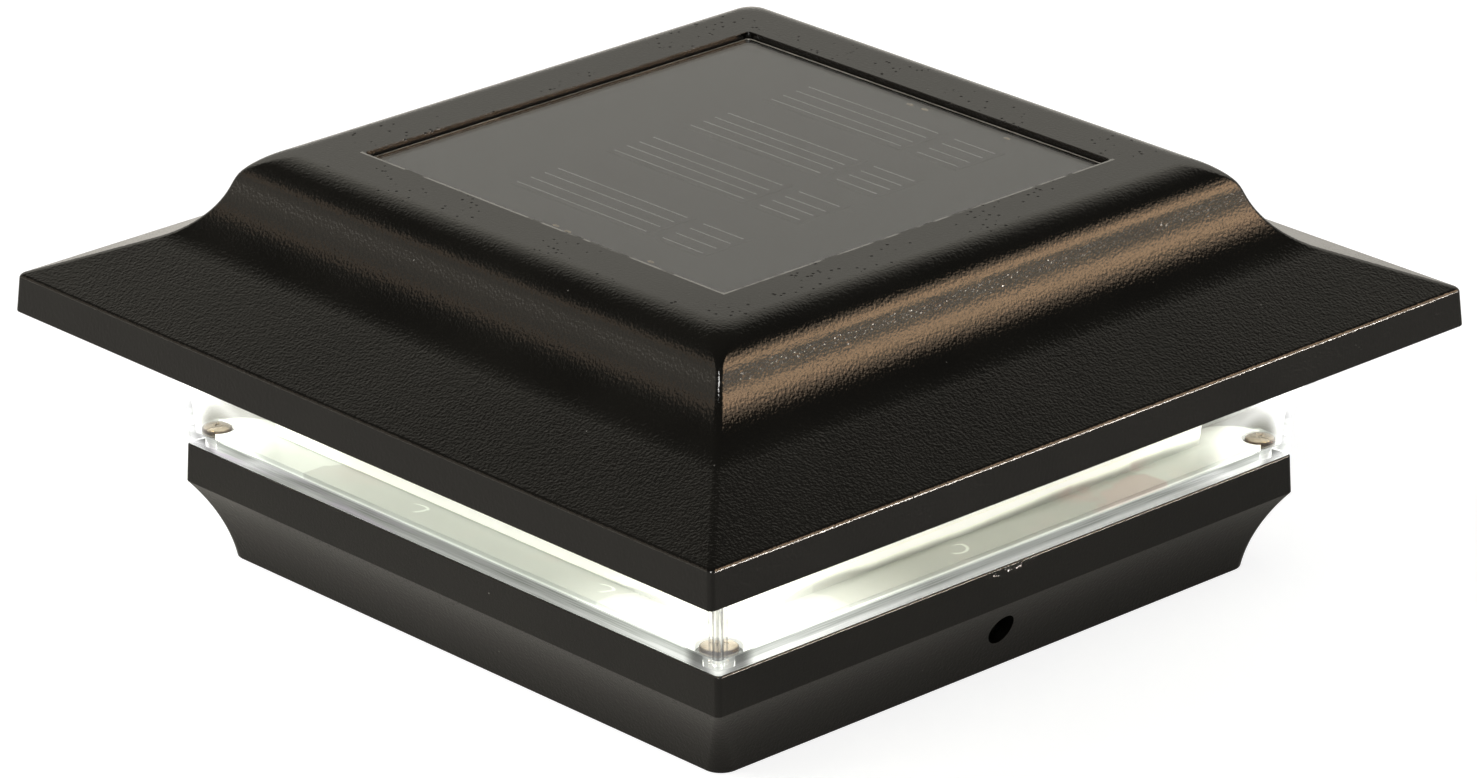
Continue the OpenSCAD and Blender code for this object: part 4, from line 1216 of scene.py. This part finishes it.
class CAPLIGHT_OT_screws(bpy.types.Operator):
    """Builds the four corner screws with their cross recesses"""

    bl_idname = "cap_light.screws"
    bl_label = "Corner screws"

    def execute(self, context):
        s = settings("screw")
        plate = material("nickel_screws", nickel)
        spots = corner_spots(settings("lens").screw_half, LENS_FLOOR_Z)
        mesh = bmesh.new()
        for spot in spots:
            add_turned(mesh, spot, screw_profile(s))
        piece = make_object("corner_screws", mesh, plate)
        over = s.head_height + s.crown
        slot = [(-s.cross_reach, over), (s.cross_reach, over)]
        slot += [(s.cross_width, s.cross_floor), (-s.cross_width, s.cross_floor)]
        for quarter in (0, 90):
            recess = bmesh.new()
            for spot, turn in zip(spots, SCREW_TURNS):
                turned = spot @ Matrix.Rotation(radians(turn + quarter), 4, "Z")
                add_prism(recess, slot, turned, s.cross_width)
            cut(piece, make_object("recess", recess, plate))
        even_shading(piece)
        dress(piece, "nickel_screws", "lens_screws")
        return {"FINISHED"}


class CAPLIGHT_OT_panel(bpy.types.Operator):
    """Dresses the solar panel: board, cells, printed lines, solder marks and laminate"""

    bl_idname = "cap_light.panel"
    bl_label = "Solar panel"

    def execute(self, context):
        s, look = settings("panel"), settings("finish")
        paint("panel_board", "panel_board", panel_board)
        paint("solar_cells", "solar_cell", cell)
        paint("panel_seal", "panel_seal", moulded, look.rubber, 0.6)
        half, start, end = COVER_HALF - s.rim, COVER_Z + s.gap, COVER_TOP_Z
        plate = [(half - s.edge, start), (half, start + s.edge), (half, end - s.edge), (half - s.edge, end)]
        mesh = square_loft([(*point, s.corner) for point in plate], steps=6, closed=False)
        sheet = make_object("laminate_sheet", mesh, material("panel_laminate", laminate))
        dress(sheet, "panel_laminate", "panel_cover")
        rim = [(half, start), (COVER_HALF, start), (COVER_HALF, end - s.edge), (COVER_HALF - s.edge, end)]
        mesh = square_loft([(*point, s.corner) for point in (*rim, (half, end))])
        edge = make_object("laminate_edge", mesh, material("cut_laminate", printed, s.cut_edge, 0.5))
        dress(edge, "panel_laminate")
        mesh = bmesh.new()
        low_z, high_z = CELL_TOP_Z - s.line_height, CELL_TOP_Z + s.line_height / 4
        for y in LINE_ROWS:
            for start, end in ((s.long_from, s.long_to), (s.short_from, s.short_to)):
                outline = [(start, low_z), (end, low_z), (end, high_z), (start, high_z)]
                add_prism(mesh, outline, at(y=y * MM), s.line_width)
        lines = make_object("printed_lines", mesh, material("printed_silver", printed, s.silver))
        dress(lines, "solar_cell")
        mesh = bmesh.new()
        size = Matrix.Diagonal((s.mark_length / 2, s.mark_width / 2, s.mark_height, 1))
        profile = [(0, 1.0), (0.6, 0.8), (0.9, 0.45), (1.0, 0.0), (0, 0.0)]
        for x, y in SOLDER_MARKS:
            add_turned(mesh, at(x * MM, y * MM, low("solar_cells").z) @ size, profile, turns=16)
        marks = make_object("solder_marks", mesh, material("solder", printed, s.solder, 0.3))
        dress(marks, "panel_board")
        return {"FINISHED"}


class CAPLIGHT_OT_lamps(bpy.types.Operator):
    """Lights the room behind the lens: reflectors with painted glow, lamp boards and lamps"""

    bl_idname = "cap_light.lamps"
    bl_label = "Lamps and reflectors"

    def execute(self, context):
        paint("light_reflector ceiling_reflector", "white_reflector", reflector)
        paint("led_boards", "white_board", moulded, settings("finish").lamp_board, 0.3)
        paint("led_lamps", "lamp_dome", lamp_dome)
        return {"FINISHED"}


class CAPLIGHT_OT_inside(bpy.types.Operator):
    """Gives the housing, the battery bay, the switch and the electronics their materials"""

    bl_idname = "cap_light.inside"
    bl_label = "Housing and inner pieces"

    def execute(self, context):
        look = settings("finish")
        seals, housing = "lens_gasket rim_gasket door_seal", "electronics_housing battery_door"
        paint(seals, "seal_rubber", moulded, look.rubber, 0.62, 0.02 * MM, 0.8 * MM)
        paint(housing, "housing_plastic", moulded, look.white, 0.42, 0.012 * MM, 0.6 * MM)
        paint("battery_holder switch_body", "black_plastic", moulded, look.black, 0.4)
        paint("switch_knob", "knob_plastic", moulded, look.black, 0.5, 0.03 * MM, 0.4 * MM)
        screws = "cap_screws led_screws door_screws switch_screws board_screws"
        paint(screws, "steel_screws", plated, look.steel, 0.3)
        paint("battery_springs battery_plates", "spring_steel", plated, look.spring, 0.2)
        paint("battery_cells", "cell_sleeve", moulded, look.sleeve, 0.25, 0.002 * MM)
        paint("control_board", "circuit_board", circuit)
        paint("board_components", "component_plastic", moulded, look.component, 0.4)
        paint("panel_leads battery_leads", "lead_insulation", moulded, look.lead, 0.4, 0.005 * MM)
        paint("led_leads", "lead_insulation_pale", moulded, look.pale_lead, 0.4, 0.005 * MM)
        return {"FINISHED"}


def softbox(name, azimuth, elevation, wide, tall, radiance, tint, lights):
    """A soft lamp that is so many degrees wide and tall. Radiance 1 looks white in a mirror."""
    light = bpy.data.lights.new(name, "AREA")
    light.shape = "RECTANGLE"
    light.size = 2 * LAMP_DISTANCE * tan(radians(wide) / 2)
    light.size_y = 2 * LAMP_DISTANCE * tan(radians(tall) / 2)
    light.energy = radiance * pi * light.size * light.size_y
    light.color = tint
    lamp = bpy.data.objects.new(name, light)
    bpy.context.scene.collection.objects.link(lamp)
    lamp.visible_camera = False
    lamp.visible_diffuse = lights == "matt"
    lamp.visible_glossy = lights == "gloss"
    a, e = radians(azimuth), radians(elevation)
    away = Vector((cos(a) * cos(e), sin(a) * cos(e), sin(e)))
    lamp.location = away * LAMP_DISTANCE + Vector((0, 0, EAVE_Z))
    lamp.rotation_euler = away.to_track_quat("Z", "Y").to_euler()


def ray_kind(r, *names):
    """1 for rays of the kinds that are named."""
    path = r.node("ShaderNodeLightPath")
    rays = [Value(r, path.outputs[name]) for name in names]
    return sum(rays[1:], rays[0]).least(1.0)


def build_world(s):
    """White behind the object, a room that is dimmer overhead in mirrors, and even light all round."""
    r = Recipe(bpy.context.scene.world or bpy.data.worlds.new("studio"))
    bpy.context.scene.world = r.owner
    height = r.axes(r.add("ShaderNodeTexCoord", output="Generated"))[2]
    wall_top, ceiling_edge = radians(18), radians(38)
    overhead = height.ramp(sin(wall_top), sin(ceiling_edge))
    room = s.surround - overhead * (s.surround - s.ceiling)
    seen = ray_kind(r, "Is Camera Ray", "Is Transmission Ray")
    mirror = ray_kind(r, "Is Glossy Ray")
    strength = seen + (1 - seen) * (mirror * room + (1 - mirror) * s.ambient)
    tint = r.mix(mirror * (1 - seen), WHITE, s.room)
    light = r.add("ShaderNodeBackground", None, {"Color": tint, "Strength": strength})
    r.node("ShaderNodeOutputWorld", None, {"Surface": light})


def pale_floor(r):
    """Pale floor that keeps the object's shadow and runs out into the white surround. In mirrors it is
    dimmer and warmer, by an amount that depends on the place."""
    s = settings("studio")
    where = r.place()
    x, y, _ = r.axes(where)
    pale = r.mix(r.noise(where, 40 * MM), s.floor, s.floor_light)
    mirrored = ray_kind(r, "Is Glossy Ray")
    away = (x + y).ramp(-150 * MM, 150 * MM) - (y - x).ramp(200 * MM, 500 * MM) * 4.0
    matt = r.add("ShaderNodeBsdfDiffuse", None, {"Color": r.mix(mirrored, pale, s.floor_mirrored)})
    tint = r.mix(mirrored, WHITE, s.floor_tint)
    own, loss, slope = 1.65, 1.15, 0.24
    strength = own - mirrored * (away * slope + loss)
    white = r.add("ShaderNodeEmission", None, {"Color": tint, "Strength": strength})
    seen = ray_kind(r, "Is Camera Ray", "Is Glossy Ray", "Is Transmission Ray")
    return r.finish(r.add("ShaderNodeMixShader", None, {0: seen * 0.5, 1: matt, 2: white}))


class CAPLIGHT_OT_stage(bpy.types.Operator):
    """Builds the floor, the lamps and the camera at the photograph's view"""

    bl_idname = "cap_light.stage"
    bl_label = "Stage"

    def execute(self, context):
        s = settings("studio")
        scene = context.scene
        mesh = bmesh.new()
        bmesh.ops.create_circle(mesh, cap_ends=True, segments=64, radius=FLOOR_RADIUS)
        make_object("floor", mesh, material("studio_floor", pale_floor))
        build_world(s)
        for lamp in LAMPS:
            softbox(*lamp)
        a, e = s.azimuth, s.elevation
        back = Vector((sin(a) * cos(e), -cos(a) * cos(e), sin(e)))
        right = Vector((cos(a), sin(a), 0.0))
        up = back.cross(right)
        middle = Vector((0.0, 0.0, EAVE_Z + settings("cap").eave_height))
        spot = middle + back * s.distance + right * s.aim_right - up * s.aim_down
        turn = Matrix((right, up, back)).transposed().to_4x4() @ Matrix.Rotation(s.roll, 4, "Z")
        data = bpy.data.cameras.new("camera")
        data.sensor_width = 36.0
        data.lens = s.focal_length
        data.clip_end = 100.0
        camera = bpy.data.objects.new("camera", data)
        camera.matrix_world = at(*spot) @ turn
        scene.collection.objects.link(camera)
        scene.camera = camera
        scene.view_settings.view_transform = "Standard"
        return {"FINISHED"}


STEPS = (
    CAPLIGHT_OT_stage,
    CAPLIGHT_OT_cap,
    CAPLIGHT_OT_base,
    CAPLIGHT_OT_lens,
    CAPLIGHT_OT_screws,
    CAPLIGHT_OT_panel,
    CAPLIGHT_OT_lamps,
    CAPLIGHT_OT_inside,
)


class CAPLIGHT_PT_sidebar(bpy.types.Panel):
    """Lists the cap light's sizes, finishes and steps"""

    bl_idname = "CAPLIGHT_PT_sidebar"
    bl_label = "Cap Light"
    bl_space_type = "VIEW_3D"
    bl_region_type = "UI"
    bl_category = "Cap Light"

    def draw(self, context):
        for step in STEPS:
            self.layout.operator(step.bl_idname)
        for name, group in GROUPS.items():
            box = self.layout.box()
            box.label(text=group.__doc__)
            for key in group.__annotations__:
                box.prop(getattr(context.scene, name), key)


def register():
    for group in GROUPS.values():
        bpy.utils.register_class(group)
    for name, group in GROUPS.items():
        setattr(bpy.types.Scene, name, PointerProperty(type=group))
    for step in STEPS:
        bpy.utils.register_class(step)
    bpy.utils.register_class(CAPLIGHT_PT_sidebar)


def unregister():
    bpy.utils.unregister_class(CAPLIGHT_PT_sidebar)
    for step in reversed(STEPS):
        bpy.utils.unregister_class(step)
    for name in GROUPS:
        delattr(bpy.types.Scene, name)
    for group in reversed(list(GROUPS.values())):
        bpy.utils.unregister_class(group)


def main():
    register()
    for step in STEPS:
        area, name = step.bl_idname.split(".")
        getattr(getattr(bpy.ops, area), name)()


if __name__ == "__main__":
    main()
